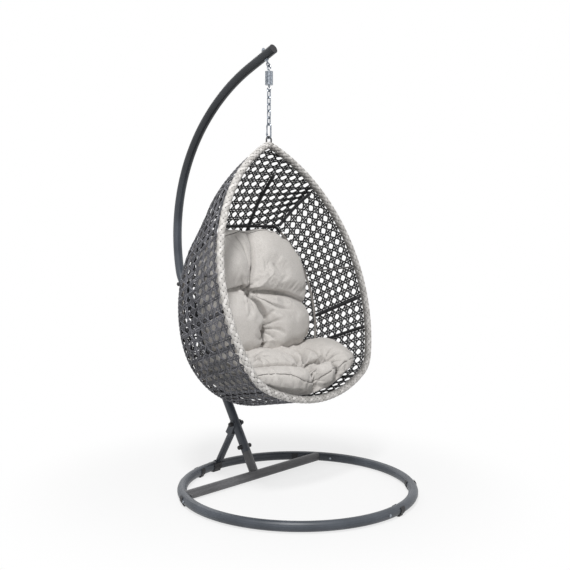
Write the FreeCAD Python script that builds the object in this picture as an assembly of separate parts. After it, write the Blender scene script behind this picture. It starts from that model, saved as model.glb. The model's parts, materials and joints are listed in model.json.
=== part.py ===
import FreeCAD, Part
import math
import os

# Hanging egg chair on a bent tube stand. Millimetres, +Z up, X across, the chair faces -Y.
# The origin is on the floor under the middle of the whole object.

V = FreeCAD.Vector

# Floor ring
RING_R = 504.0              # ring centreline; outside diameter 1050
TUBE_R = 21.0               # all large stand tubes are 42 outside
TUBE_SIDES = 16             # with flats that stand 0.2 inside the round, and corners 0.2 outside
TUBE_FLAT = TUBE_R - 0.2
SMALL_SIDES = 12            # bolts, caps, washers and discs
RING_REAR_HALF = 71.0       # half angle of the rear arc, from the rear point, degrees
SWAGE_R = 18.6              # reduced tube end that plugs into its neighbour
SWAGE_LENGTH = 54.0
SOCKET_CLEAR = 0.25         # around a swage, in its socket
SOCKET_SPARE = 4.0          # socket depth past the swage's end
CROSS_BEHIND = 256.0        # cross tube axis, behind the ring's middle
WELD_GAP = 0.3              # coped tube ends stand this far off
JOINT_BOLT_R = 3.0          # M6 through each ring joint
JOINT_BOLT_IN = 30.0        # from the joint's edge
JOINT_END = 45.0            # end stretch that the bolt goes through
JOINT_OVERLAP = 3.0         # plugs and bores run this far past the joint's face

# Foot clips, moulded round the underside of the ring
CLIP_PAD = 4.0              # floor to tube
CLIP_WALL = 3.0
CLIP_CLEAR = 1.0            # the ring curves through a straight clip
CLIP_MOUTH = 36.0           # width of the open top
CLIP_FOOT_WIDTH = 26.0
CLIP_WIDTH = 30.0
CLIP_WIDTH_WIDE = 48.0      # the clip under the brace foot
CLIP_ANGLES = (64.4, 16.6, -46.3, -132.6, -173.9)   # from the rear point, towards -X
CLIP_ANGLE_WIDE = 3.3

# Post and boom, one line that leans back, then bends up and over
LEAN = 30.0                 # degrees back from vertical
POST_FOOT_BEHIND = 250.0    # where the post's axis would meet the floor
STUB_TOP = 138.0            # along the axis from the floor
POST_TOP = 982.0
BOOM_STRAIGHT_END = 1040.0
BOOM_BENDS = ((142.0, 12.0), (818.0, -14.0), (803.0, -42.0), (902.0, -66.0))    # radius, lean back after it
BOOM_TIP = 152.0            # straight run after the last bend
STUB_BOLT = 165.0           # bolt through stub and post, along the axis
BOOM_BOLT = 1014.0
BOLT_R = 4.0                # M8
BOLT_HEAD_R = 6.5
BOLT_HEAD_H = 5.0
HOLE_CLEAR = 0.3
CAP_R = 9.5
CAP_LENGTH = 20.0
CAP_DOME = 4.0

# Brace from the ring's rear up to the post
BRACE_R = 16.0
BRACE_LEAN = 30.0           # degrees forward
BRACE_FOOT_Z = 40.0
BRACE_TOP_ALONG_POST = 279.0
EAR_T = 4.0
EAR_WIDTH = 34.0
SADDLE_T = 4.0
SADDLE_CLEAR = 1.0          # the ring curves away under a straight saddle
SADDLE_HALF = 38.0          # half angle of the saddle over the ring tube
SADDLE_WIDTH = 44.0

# Eye bolt at the boom's tip, square to the tube
EYE_ALONG_TIP = 99.0
EYE_WIRE_R = 3.0
EYE_R = 9.5
EYE_DROP = 47.5             # tube axis to eye centre
EYE_BOLT_R = 4.0
WASHER_R = 10.0
WASHER_T = 1.8
NUT_R = 7.5
NUT_H = 7.0
PLUG_WALL = 2.0
PLUG_DEPTH = 22.0
PLUG_RIM = 3.0

# Spring unit and chain
SEAT_GAP = 0.3              # left between pieces that hang in one another
HOOK_WIRE_R = 3.0
HOOK_R = 9.0
HOOK_MOUTH = 50.0           # degrees left open
HOUSING_R = 17.5
HOUSING_H = 59.0
HOUSING_WALL = 2.0
HOUSING_BORE_CLEAR = 0.5
SPRING_WIRE_R = 1.6
SPRING_R = 11.0
PISTON_R = 14.0
PISTON_T = 4.0
ROD_R = 4.0                 # shanks of both hooks
HOUSING_END_T = 3.0
SWIVEL_HEAD_T = 4.0
SWIVEL_HEAD_R = 9.5
ROD_SHOWS = 9.0             # housing to hook, at rest
LINK_WIRE_R = 3.0
LINK_PITCH = 29.5
LINK_WIDTH = 21.0
LINKS = 5
CARABINER_WIRE_R = 3.5
CARABINER_INNER = 57.0
CARABINER_WIDTH = 30.0
GATE_LENGTH = 31.0
GATE_R = 2.8
HINGE_R = 1.3
KNUCKLE_R = 3.2
KNUCKLE_HALF = 1.6
EAR_OUT = 3.6               # hinge ears, from the middle
LOOP_WIRE_R = 3.5
LOOP_R = 15.0
LOOP_RISE = 38.0            # rim centreline to the loop's top wire

# Rim of the basket, a planar egg outline that leans forward at its foot
RIM_TILT = 16.2
RIM_TUBE_R = 11.0
WRAP_R = 16.0
WRAP_CLEAR = 0.4
WIRE_SIDES = 8              # small bars and the wrap have flats, as plaited strips do
HIDDEN_SIDES = 6            # bars that lie under the wrap, the weave or the cushions
RIM_APEX_BEND = 40.0
RIM_BENDS = ((RIM_APEX_BEND, 65.0), (735.0, -25.0), (158.0, -62.0))
SHOULDER_HEADING = 41.0     # where the side walls begin, as a heading of the side bend

# Rear hoop of the basket
HOOP_ROD_R = 5.0
HOOP_TILT = 10.0
HOOP_BEHIND = 23.0          # its lowest point, behind the hanging axis
HOOP_DROP = 1163.0          # its lowest point, below the rim's apex
HOOP_BENDS = ((530.0, 60.0), (340.0, 10.0), (545.0, -51.0))
HOOP_CORNER = 60.0

# Woven skin
SKIN_T = 6.0
SKIN_GAP = 0.3
SKIN_OVERHANG = 8.0         # the skin starts this far outside the rim's centreline
SEAM = 0.5                  # between neighbouring skins
RIM_BANDS = 3               # straight bands of the skin from the apex to the shoulder
HOOP_BANDS = (2, 3, 5)      # along each bend of the hoop, from the bottom
SEAT_BANDS = 3              # each side of the bottom's middle
BACK_COLUMNS = 8            # straight stretches across the back
COLUMN_INSIDE = 3.0         # they run this far inside their arc
BACK_HEADINGS = (50.0, -10.0, -80.0)    # mid-plane line of the back, from straight down
BACK_START = 88.0           # along the rim from the apex
CORE_BELOW = 610.0          # the skin's thickness points to a place this far below the apex
CORNER_BULGE = 26.0         # of the corner ribs and the skins on them, away from the core
BAR_GAP = 5.0               # bars to skin, which runs straight between its rows
HOOP_DEPTH = 20.0           # hoop's axis inside the skin's edge
RIB_R = 6.0
STRUT_R = 4.0
ROOF_RIB_X = (120.0, 104.0, 72.0)       # across, from the rim to the waist
SIDE_RIBS = ((0.435, 0.43), (0.55, 0.55))   # ends on rim and hoop, along the side wall from the bottom
SIDE_STRUT = (0.668, 0.75)
WAIST_RODS = (0.69, 0.86)   # along the back from the apex
SEAT_BARS = (0.22, 0.22)    # along the side wall from the bottom

# Cushions; depths are behind the hanging axis, heights above the hoop's lowest point
CUSHION_OVER_SKIN = 23.2    # clear of the bars inside the skin
SEAT_HALF = 356.0
SEAT_FRONT = -275.0
SEAT_REAR = 168.0
SEAT_DRAW = (75.0, 60.0)    # front and rear draw in towards the ends by this
SEAT_ROUND = 22.0           # the front and rear bulge past their seams by this
SEAT_FRONT_HEIGHT = 212.0
SEAT_CROWN_HEIGHT = 250.0
SEAT_REAR_HEIGHT = 215.0
SEAT_CROWN_BEHIND = 10.0
SEAT_END_RISE = 14.0        # the ends ride up the side walls, with their crown further forward
SEAT_END_FORWARD = 110.0
SEAT_STATIONS = (0.0, 0.34, 0.64, 0.86, 0.96, 1.0)
SEAT_CHORDS = (2, 3, 6, 3)  # straight stretches of the underside, rear, top and front
BACK_CHORDS = (6, 2, 4, 2)  # of the front, the right, the rear and the left
BACK_HALF = 292.0
BACK_HEIGHT = 535.0
BACK_THICK = 190.0
BACK_LOW_FRONT = -28.0
BACK_TOP_FRONT = 55.0
# Share of height, of half width and of thickness
BACK_SECTIONS = ((0.0, 0.84, 0.62), (0.08, 0.95, 0.90), (0.28, 1.0, 1.0), (0.52, 1.0, 1.0),
                 (0.74, 0.94, 0.92), (0.90, 0.76, 0.72), (1.0, 0.48, 0.40))
TUFT_R = 30.0
TUFT_FOOT_R = 7.0
TUFT_DEPTH = 22.0
SEAT_TUFTS = ((20.0, -205.0), (185.0, -190.0), (110.0, -85.0), (-160.0, -60.0))     # across, behind
BACK_TUFTS = ((-69.0, 0.49), (-4.0, 0.16), (120.0, 0.40), (30.0, 0.74))     # across, share of height

os.makedirs("parts", exist_ok=True)


def save(name, shape):
    shape.exportStep("parts/" + name + ".step")


up = V(0, 0, 1)
across = V(1, 0, 0)


def heading_vector(degrees):
    a = math.radians(degrees)
    return math.sin(a), math.cos(a)


class FlatPath:
    """Tangent straights and bends in a plane. A heading is measured from the v axis towards u."""

    def __init__(self, start, heading):
        self.pieces = []
        self.end = start
        self.heading = heading
        self.length = 0.0

    def straight(self, length):
        du, dv = heading_vector(self.heading)
        self.pieces.append((self.length, length, self.end, self.heading, None))
        self.end = (self.end[0] + du * length, self.end[1] + dv * length)
        self.length += length
        return self

    def bend(self, radius, heading):
        turn = math.radians(heading - self.heading)
        self.pieces.append((self.length, radius * abs(turn), self.end, self.heading, math.copysign(radius, turn)))
        self.length += radius * abs(turn)
        self.end = self.at(self.length)[0]
        self.heading = heading
        return self

    def at(self, s, offset=0.0):
        """Point at length s and the heading there; offset moves it to the right of the heading, with u
        to the right and v up."""
        start, length, point, heading, radius = [p for p in self.pieces if p[0] <= s + 1e-9][-1]
        along = s - start
        if radius is None:
            du, dv = heading_vector(heading)
            u, v, h = point[0] + du * along, point[1] + dv * along, heading
        else:
            h = heading + math.degrees(along / radius)
            a, b = math.radians(heading), math.radians(h)
            u = point[0] + radius * (math.cos(a) - math.cos(b))
            v = point[1] + radius * (math.sin(b) - math.sin(a))
        a = math.radians(h)
        return (u + offset * math.cos(a), v - offset * math.sin(a)), h

    def marks(self, counts):
        """Lengths that divide each of the first pieces into a number of equal parts."""
        found = [0.0]
        for (start, length, point, heading, radius), count in zip(self.pieces, counts):
            found += [start + length * (i + 1) / count for i in range(count)]
        return found

    def edges(self, place, offset=0.0, s0=0.0, s1=None):
        """Edges from s0 to s1, put in space by place(u, v)."""
        s1 = self.length if s1 is None else s1
        found = []
        for start, length, point, heading, radius in self.pieces:
            a, b = max(start, s0), min(start + length, s1)
            if b - a < 1e-6:
                continue
            ends = [place(*self.at(s, offset)[0]) for s in (a, (a + b) / 2, b - 1e-9)]
            if radius is None:
                found.append(Part.makeLine(ends[0], ends[2]))
            else:
                found.append(Part.Arc(*ends).toShape())
        return found


def section_wire(point, direction, radius, sides=0, level=None):
    """Circle, or polygon with flats at the radius, one of them facing level, square to direction."""
    if not sides:
        return Part.Wire(Part.Circle(point, direction, radius).toShape())
    if level is None:
        level = direction.cross(V(1, 0, 0) if abs(direction.x) < 0.9 else V(0, 0, 1)).normalize()
    other = direction.cross(level).normalize()
    corner = radius / math.cos(math.pi / sides)
    points = []
    for i in range(sides + 1):
        a = math.pi * (2 * i + 1) / sides
        points.append(point + level * (corner * math.cos(a)) + other * (corner * math.sin(a)))
    return Part.makePolygon(points)


def sweep(edges, radius, sides=0, level=None):
    """Round or polygonal bar along lines and arcs that follow one another, joined as one solid."""
    runs = []
    for edge in edges:
        start = edge.valueAt(edge.FirstParameter)
        tangent = edge.tangentAt(edge.FirstParameter)
        face = Part.Face(section_wire(start, tangent, radius, sides, level))
        if edge.Curve.TypeId == "Part::GeomCircle":
            turn = math.degrees(edge.LastParameter - edge.FirstParameter)
            runs.append(face.revolve(edge.Curve.Center, edge.Curve.Axis, turn))
        else:
            runs.append(face.extrude(edge.valueAt(edge.LastParameter) - start))
    return runs[0].fuse(runs[1:]) if len(runs) > 1 else runs[0]


def rod(a, b, radius, sides=0):
    """Straight round bar from a to b."""
    if not sides:
        return Part.makeCylinder(radius, (b - a).Length, a, b - a)
    return Part.Face(section_wire(a, (b - a).normalize(), radius, sides)).extrude(b - a)


def taper(point, direction, radii, heights, sides=SMALL_SIDES):
    """Prism that narrows from one radius to the next at heights along a direction."""
    sections = [section_wire(point + direction * h, direction, r, sides) for r, h in zip(radii, heights)]
    return Part.makeLoft(sections, True, True)


def bar_ring(centre, normal, radius, wire_r, start, sweep_angle, sides=WIRE_SIDES):
    """Bent bar: an arc of sweep_angle degrees about centre, from the direction start."""
    section = section_wire(centre + start * radius, normal.cross(start), wire_r, sides)
    return Part.Face(section).revolve(centre, normal, sweep_angle)


def common_start(path, heading, piece):
    """Length along a path at which one of its bends has the heading."""
    start, length, point, first, radius = path.pieces[piece]
    return start + radius * math.radians(heading - first)


# Main lines that the pieces share

post_line = FlatPath((POST_FOOT_BEHIND, 0.0), LEAN).straight(BOOM_STRAIGHT_END)
for bend_radius, bend_heading in BOOM_BENDS:
    post_line.bend(bend_radius, bend_heading)
tip_start = post_line.length
post_line.straight(BOOM_TIP)

furthest_behind = post_line.at(common_start(post_line, 0.0, 2))[0][0]
ring_y = -(furthest_behind - RING_R) / 2
ring_z = CLIP_PAD + TUBE_R


def on_stand(u, v):
    return V(0, ring_y + u, v)


def post_point(s, offset=0.0):
    return on_stand(*post_line.at(s, offset)[0])


def post_axes(s):
    """Directions along the post line and square to it, rearward and up."""
    h = math.radians(post_line.at(s)[1])
    return V(0, math.sin(h), math.cos(h)), V(0, math.cos(h), -math.sin(h))


def ring_point(degrees, radius=RING_R, z=ring_z):
    """Point at an angle from the ring's rear, towards -X."""
    a = math.radians(degrees)
    return V(-radius * math.sin(a), ring_y + radius * math.cos(a), z)


eye_s = tip_start + EYE_ALONG_TIP
pivot = post_point(eye_s, -(EYE_DROP + EYE_R))      # centre of the eye's wire, where the hook hangs
hang_y = pivot.y
hook_top_z = pivot.z + EYE_WIRE_R + SEAT_GAP + HOOK_WIRE_R
hook_centre_z = hook_top_z - HOOK_R
housing_top_z = hook_centre_z - HOOK_R - HOOK_WIRE_R - 5.0
housing_low_z = housing_top_z - HOUSING_H
low_hook_centre_z = housing_low_z - ROD_SHOWS - HOOK_R
low_hook_z = low_hook_centre_z - HOOK_R
link_top_z = [low_hook_z + HOOK_WIRE_R + SEAT_GAP - i * LINK_PITCH for i in range(LINKS)]
carabiner_top_z = link_top_z[-1] - LINK_PITCH
loop_z = carabiner_top_z - CARABINER_INNER + SEAT_GAP + LOOP_WIRE_R
apex = V(0, hang_y, loop_z - LOOP_RISE)

rim_line = FlatPath((0.0, 0.0), 90.0)
for bend_radius, bend_heading in RIM_BENDS:
    rim_line.bend(bend_radius, bend_heading)
last_heading = math.radians(RIM_BENDS[-1][1])
rim_line.bend(rim_line.end[0] / math.cos(last_heading), -90.0)
shoulder_s = common_start(rim_line, SHOULDER_HEADING, 1)
rim_tilt = math.radians(RIM_TILT)


def on_rim(u, v, behind=0.0):
    """Point of the rim's plane: u across, v down from the apex, behind the plane."""
    return apex + V(u, behind * math.cos(rim_tilt) - v * math.sin(rim_tilt),
                    -behind * math.sin(rim_tilt) - v * math.cos(rim_tilt))


hoop_line = FlatPath((0.0, 0.0), 90.0)
for bend_radius, bend_heading in HOOP_BENDS:
    hoop_line.bend(bend_radius, bend_heading)
hoop_corner_s = hoop_line.length
hoop_line.bend(HOOP_CORNER, -90.0)
hoop_line.straight(hoop_line.end[0])
hoop_low = apex + V(0, HOOP_BEHIND, -HOOP_DROP)
hoop_tilt = math.radians(HOOP_TILT)


def on_hoop(u, v, behind=0.0):
    """Point of the hoop's plane: u across, v up from its lowest point, behind the plane."""
    return hoop_low + V(u, behind * math.cos(hoop_tilt) + v * math.sin(hoop_tilt),
                        -behind * math.sin(hoop_tilt) + v * math.cos(hoop_tilt))


# The back's mid-plane line bends twice, from the apex to the hoop's lowest point
h0, h1, h2 = (math.radians(h) for h in BACK_HEADINGS)
turn_a = (math.cos(h1) - math.cos(h0), math.sin(h0) - math.sin(h1))
turn_b = (math.cos(h2) - math.cos(h1), math.sin(h1) - math.sin(h2))
bends_det = turn_a[0] * turn_b[1] - turn_a[1] * turn_b[0]
back_r1 = (HOOP_BEHIND * turn_b[1] - HOOP_DROP * turn_b[0]) / bends_det
back_r2 = (turn_a[0] * HOOP_DROP - turn_a[1] * HOOP_BEHIND) / bends_det
back_line = FlatPath((0.0, 0.0), BACK_HEADINGS[0])
back_line.bend(back_r1, BACK_HEADINGS[1]).bend(back_r2, BACK_HEADINGS[2])

core = apex - V(0, 0, CORE_BELOW)


def inward(point, depth):
    return point + (core - point).normalize() * depth


def mirrored(point, side):
    return V(side * point.x, point.y, point.z)


skin_behind = WRAP_R + SKIN_GAP
shoulder = on_rim(*rim_line.at(shoulder_s, SKIN_OVERHANG)[0], skin_behind)
hoop_corner = on_hoop(*hoop_line.at(hoop_corner_s)[0])


corner_middle = inward((shoulder + hoop_corner) / 2, -CORNER_BULGE)


def side_edge(rank, share, side):
    """Point of the edge between back and side wall: rank 0 on the rim, 1 amid the corner rib, 2 on the hoop."""
    if rank == 0:
        (u, v), h = rim_line.at(share, SKIN_OVERHANG)
        return on_rim(side * u, v, skin_behind)
    if rank == 1:
        return mirrored(corner_middle, side)
    (u, v), h = hoop_line.at(share)
    return on_hoop(side * u, v, 1.0)


def back_middle(t):
    (u, v), h = back_line.at(min(t, 1 - 1e-9) * back_line.length)
    return apex + V(0, u, -v)


# Stand

ring_centre = V(0, ring_y, ring_z)
plug_turn = math.degrees(SWAGE_LENGTH / RING_R)
socket_turn = math.degrees((SWAGE_LENGTH + SOCKET_SPARE) / RING_R)
end_turn = math.degrees(JOINT_END / RING_R)


def ring_tube(a0, a1):
    """Bent tube along the ring between two angles."""
    out = (ring_point(a0) - ring_centre).normalize()
    return bar_ring(ring_centre, up, RING_R, TUBE_FLAT, out, a1 - a0, TUBE_SIDES)


def ring_plug(joint, turn, radius):
    """Straight swaged end, or its bore, from a joint towards the tube that takes it."""
    mouth, far = ring_point(joint), ring_point(joint + turn)
    return rod(mouth - (far - mouth).normalize() * JOINT_OVERLAP, far, radius)


def ring_bolt_place(joint, side):
    """Middle and outward direction of the bolt through a ring joint, on one side of its edge."""
    angle = joint + side * math.degrees(JOINT_BOLT_IN / RING_R)
    outward = ring_point(angle, 1.0, 0.0) - V(0, ring_y, 0)
    return ring_point(angle), outward.normalize()


def bolt_hole(point, direction, radius, half):
    return Part.makeCylinder(radius + HOLE_CLEAR, 2 * half, point - direction * half, direction)


# Each joint: its angle and the side on which its tube has the socket
ring_joints = ((RING_REAR_HALF, -1), (180.0, -1), (-RING_REAR_HALF, 1))
ring_bolts = [ring_bolt_place(joint, side) for joint, side in ring_joints]
sockets = [ring_plug(joint, side * socket_turn, SWAGE_R + SOCKET_CLEAR) for joint, side in ring_joints]
plugs = [ring_plug(joint, side * plug_turn, SWAGE_R) for joint, side in ring_joints]

rear_arc = ring_tube(-RING_REAR_HALF, end_turn - RING_REAR_HALF)
rear_arc = rear_arc.fuse([ring_tube(end_turn - RING_REAR_HALF, RING_REAR_HALF - end_turn),
                          ring_tube(RING_REAR_HALF - end_turn, RING_REAR_HALF)])
rear_arc = rear_arc.cut(sockets[0]).cut(sockets[2])
left_arc = ring_tube(RING_REAR_HALF, 180.0 - end_turn).fuse([ring_tube(180.0 - end_turn, 180.0), plugs[0]])
left_arc = left_arc.cut(sockets[1])
right_arc = ring_tube(180.0, 360.0 - RING_REAR_HALF).fuse([plugs[1], plugs[2]])
for place, outward in ring_bolts:
    hole = bolt_hole(place, outward, JOINT_BOLT_R, 2 * TUBE_R)
    rear_arc = rear_arc.cut(hole)
    left_arc = left_arc.cut(hole)
    right_arc = right_arc.cut(hole)
save("base_rear_arc", rear_arc)
save("base_left_arc", left_arc)
save("base_right_arc", right_arc)

cross_half = math.sqrt(RING_R ** 2 - CROSS_BEHIND ** 2)
cross_middle = V(0, ring_y + CROSS_BEHIND, ring_z)
ring_solid = bar_ring(ring_centre, up, RING_R, TUBE_FLAT + WELD_GAP, V(0, 1, 0), 360.0, TUBE_SIDES)


def cross_bar(radius):
    """Straight tube between the ring's centrelines."""
    return rod(cross_middle - V(cross_half, 0, 0), cross_middle + V(cross_half, 0, 0), radius, TUBE_SIDES)


save("base_cross_tube", cross_bar(TUBE_FLAT).cut(ring_solid))


# Stub, post and boom, each plugged into the next
def swage(s):
    """Reduced end of a post tube, from a length along the post line."""
    return rod(post_point(s), post_point(s + SWAGE_LENGTH), SWAGE_R, SMALL_SIDES)


def socket(s):
    """Bore that takes a reduced end."""
    return rod(post_point(s), post_point(s + SWAGE_LENGTH + SOCKET_SPARE), SWAGE_R + SOCKET_CLEAR, SMALL_SIDES)


stub_foot = ring_z / math.cos(math.radians(LEAN))
stub = rod(post_point(stub_foot), post_point(STUB_TOP), TUBE_FLAT, TUBE_SIDES)
stub = stub.cut(cross_bar(TUBE_FLAT + WELD_GAP)).fuse(swage(STUB_TOP))
post = rod(post_point(STUB_TOP), post_point(POST_TOP), TUBE_FLAT, TUBE_SIDES).cut(socket(STUB_TOP))
post = post.fuse(swage(POST_TOP))

boom = sweep(post_line.edges(on_stand, s0=POST_TOP), TUBE_FLAT, TUBE_SIDES, across).cut(socket(POST_TOP))
tip_along, tip_square = post_axes(post_line.length - 1)
tip = post_point(post_line.length)
plug_r = TUBE_R - PLUG_WALL
boom = boom.cut(rod(tip - tip_along * PLUG_DEPTH, tip, plug_r, TUBE_SIDES))
eye_place = post_point(eye_s)
boom = boom.cut(bolt_hole(eye_place, tip_square, EYE_BOLT_R, 2 * TUBE_R))

plug_seat = tip + tip_along * SEAT_GAP
end_plug = rod(tip - tip_along * (PLUG_DEPTH - 1), plug_seat, plug_r - SOCKET_CLEAR, TUBE_SIDES)
end_plug = end_plug.fuse(rod(plug_seat, plug_seat + tip_along * PLUG_RIM, TUBE_FLAT, TUBE_SIDES))
save("boom_end_plug", end_plug)

# Brace with a saddle on the ring and two ears on the post
brace_top = post_point(BRACE_TOP_ALONG_POST)
lean = math.radians(BRACE_LEAN)
brace_axis = V(0, -math.sin(lean), math.cos(lean))
brace_foot = brace_top - brace_axis * ((brace_top.z - BRACE_FOOT_Z) / math.cos(lean))
ear_root = brace_top - brace_axis * (TUBE_R + BRACE_R + 10)
brace = rod(brace_foot, ear_root, BRACE_R, SMALL_SIDES)
ear_inner = TUBE_R + SOCKET_CLEAR
ears = []
for side in (1, -1):
    plate = Part.makeBox(EAR_T, EAR_WIDTH, (brace_top - ear_root).Length + 12)
    plate.translate(V(ear_inner if side > 0 else -ear_inner - EAR_T, -EAR_WIDTH / 2, -12))
    ear_end = V(plate.BoundBox.XMin, 0, plate.BoundBox.ZMax)
    plate = plate.fuse(Part.makeCylinder(EAR_WIDTH / 2, EAR_T, ear_end, across))
    plate.rotate(V(0, 0, 0), across, BRACE_LEAN)
    plate.translate(ear_root)
    ears.append(plate)
bridge = Part.makeBox(2 * (ear_inner + EAR_T), EAR_WIDTH, EAR_T)
bridge.translate(V(-ear_inner - EAR_T, -EAR_WIDTH / 2, -EAR_T))
bridge.rotate(V(0, 0, 0), across, BRACE_LEAN)
bridge.translate(ear_root)


def block(middle, out, along, out_width, along_width, z0, z1):
    """Box on two level directions, between two heights over its middle."""
    corners = [(-1, -1), (1, -1), (1, 1), (-1, 1), (-1, -1)]
    base = [middle + out * (a * out_width / 2) + along * (b * along_width / 2) + up * z0 for a, b in corners]
    return Part.Face(Part.makePolygon(base)).extrude(up * (z1 - z0))


ring_top = V(0, ring_y + RING_R, ring_z)
saddle_half = across * (SADDLE_WIDTH / 2)
saddle = rod(ring_top - saddle_half, ring_top + saddle_half, TUBE_R + SADDLE_T, TUBE_SIDES)
saddle_low = TUBE_R * math.cos(math.radians(SADDLE_HALF))
saddle_space = block(ring_top, V(0, 1, 0), across, 4 * TUBE_R, 2 * SADDLE_WIDTH, saddle_low, 2 * TUBE_R)
tube_space = rod(ring_top - saddle_half * 2, ring_top + saddle_half * 2, TUBE_FLAT + SADDLE_CLEAR, TUBE_SIDES)
brace = brace.fuse([saddle.common(saddle_space), bridge] + ears).cut(tube_space).removeSplitter()

# Cross bolts of the stand: stub, brace and boom joints
bolt_places = [(STUB_BOLT, TUBE_R), (BRACE_TOP_ALONG_POST, TUBE_R + SOCKET_CLEAR + EAR_T), (BOOM_BOLT, TUBE_R)]
shafts, nuts, caps = [], [], []
for along, half in bolt_places:
    middle = post_point(along)
    hole = bolt_hole(middle, across, BOLT_R, 3 * TUBE_R)
    stub, post, boom, brace = stub.cut(hole), post.cut(hole), boom.cut(hole), brace.cut(hole)
    near, far = middle - across * half, middle + across * half
    head = rod(near - across * BOLT_HEAD_H, near, BOLT_HEAD_R, SMALL_SIDES)
    shafts.append(head.fuse(rod(near, far + across * (BOLT_HEAD_H + 2), BOLT_R, SMALL_SIDES)))
    nut = rod(far, far + across * BOLT_HEAD_H, BOLT_HEAD_R, 6)
    nuts.append(nut.cut(rod(near, far + across * (2 * BOLT_HEAD_H), BOLT_R + 0.05, SMALL_SIDES)))
    for seat, outward in ((near, across * -1), (far, across)):
        body = taper(seat, outward, (CAP_R, CAP_R, CAP_R - CAP_DOME), (0, CAP_LENGTH - CAP_DOME, CAP_LENGTH))
        cap_bore = BOLT_HEAD_R / math.cos(math.pi / 6) + SEAT_GAP
        caps.append(body.cut(rod(seat, seat + outward * (BOLT_HEAD_H + 3), cap_bore, SMALL_SIDES)))
save("post_stub", stub)
save("lower_post", post)
save("boom", boom)
save("rear_brace", brace)
save("post_bolts", Part.makeCompound(shafts))
save("post_bolt_nuts", Part.makeCompound(nuts))
save("post_bolt_caps", Part.makeCompound(caps))

# Ring joint bolts: a domed head outside, a cap nut inside
ring_shafts, cap_nuts = [], []
for middle, outward in ring_bolts:
    head_seat = middle + outward * (TUBE_R + 0.1)
    head = taper(head_seat, outward, (6.0, 5.6, 4.0), (0, 2.0, 3.4))
    shank = rod(middle - outward * (TUBE_R + 5), head_seat + outward, JOINT_BOLT_R, SMALL_SIDES)
    ring_shafts.append(head.fuse(shank))
    nut_seat = middle - outward * (TUBE_R + 0.1)
    nut = rod(nut_seat, nut_seat - outward * 5.0, 5.0, 6)
    nut = nut.fuse(taper(nut_seat - outward * 5.0, outward * -1, (4.8, 3.0), (0, 3.0)))
    cap_nuts.append(nut.cut(rod(nut_seat + outward, nut_seat - outward * 6.0, JOINT_BOLT_R + 0.05, SMALL_SIDES)))
save("ring_joint_bolts", Part.makeCompound(ring_shafts))
save("ring_cap_nuts", Part.makeCompound(cap_nuts))

# Foot clips
clips = []
for angle, width in [(a, CLIP_WIDTH) for a in CLIP_ANGLES] + [(CLIP_ANGLE_WIDE, CLIP_WIDTH_WIDE)]:
    middle = ring_point(angle)
    out = (middle - V(0, ring_y, ring_z)).normalize()
    along = up.cross(out)
    bore = rod(middle - along * width, middle + along * width, TUBE_FLAT + CLIP_CLEAR, TUBE_SIDES)
    clip = rod(middle - along * (width / 2), middle + along * (width / 2), TUBE_R + CLIP_WALL, TUBE_SIDES)
    clip = clip.fuse(block(middle, out, along, CLIP_FOOT_WIDTH, width, -ring_z, -TUBE_R / 2)).cut(bore)
    clips.append(clip.cut(block(middle, out, along, CLIP_MOUTH, 2 * width, 0.0, 2 * TUBE_R)).removeSplitter())
save("foot_clips", Part.makeCompound(clips))

# Eye bolt, washer and dome nut at the boom's tip
eye_centre = post_point(eye_s, -EYE_DROP)
shank_low = eye_centre + tip_square * EYE_R
shank_high = eye_place + tip_square * (TUBE_R + WASHER_T + NUT_H - 1)
eye_normal = tip_along
eye = bar_ring(eye_centre, eye_normal, EYE_R, EYE_WIRE_R, tip_square, 360.0)
eye_bolt = eye.fuse(rod(shank_low, shank_high, EYE_BOLT_R, SMALL_SIDES)).removeSplitter()
save("eye_bolt", eye_bolt)


def washer(side):
    """Flat washer above (1) or below (-1) the boom."""
    near = eye_place + tip_square * (side * (TUBE_R + 0.1))
    far = eye_place + tip_square * (side * (TUBE_R + WASHER_T))
    bore = rod(eye_place - tip_square * (2 * TUBE_R), eye_place + tip_square * (2 * TUBE_R),
               EYE_BOLT_R + HOLE_CLEAR, SMALL_SIDES)
    return rod(near, far, WASHER_R, SMALL_SIDES).cut(bore)


save("eye_bolt_washers", Part.makeCompound([washer(1), washer(-1)]))
nut_seat = eye_place + tip_square * (TUBE_R + WASHER_T)
dome_r = NUT_R - 0.5
dome_nut = rod(nut_seat, nut_seat + tip_square * NUT_H, NUT_R, 6)
dome_rings = [math.radians(a) for a in (0, 35, 65)]
dome_radii = [dome_r * math.cos(a) for a in dome_rings]
dome_heights = [NUT_H + dome_r * math.sin(a) for a in dome_rings]
dome_nut = dome_nut.fuse(taper(nut_seat, tip_square, dome_radii, dome_heights))
nut_bore = rod(nut_seat - tip_square, shank_high + tip_square * 0.5, EYE_BOLT_R + 0.05, SMALL_SIDES)
save("dome_nut", dome_nut.cut(nut_bore).removeSplitter())

# Spring unit: a hook that swivels in a crimped cup, and a rod that draws down against a spring
def on_axis(z, y=0.0):
    return V(0, hang_y + y, z)


def disc_shape(z0, z1, r_out, r_in=0.0, sides=SMALL_SIDES):
    """Upright disc or sleeve on the hanging axis; the way round a bore always has flats."""
    shape = rod(on_axis(z0), on_axis(z1), r_out, sides)
    return shape.cut(rod(on_axis(z0), on_axis(z1), r_in, SMALL_SIDES)) if r_in else shape


cavity_top = housing_top_z - HOUSING_END_T
cavity_low = housing_low_z + HOUSING_END_T
bow_sweep = 360.0 - HOOK_MOUTH

top_bow = bar_ring(on_axis(hook_centre_z), across, HOOK_R, HOOK_WIRE_R, -up, bow_sweep)
top_shank = disc_shape(cavity_top - SEAT_GAP, hook_centre_z - HOOK_R, ROD_R)
top_head = disc_shape(cavity_top - SEAT_GAP - SWIVEL_HEAD_T, cavity_top - SEAT_GAP, SWIVEL_HEAD_R)
save("swivel_hook", top_bow.fuse([top_shank, top_head]).removeSplitter())

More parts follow.
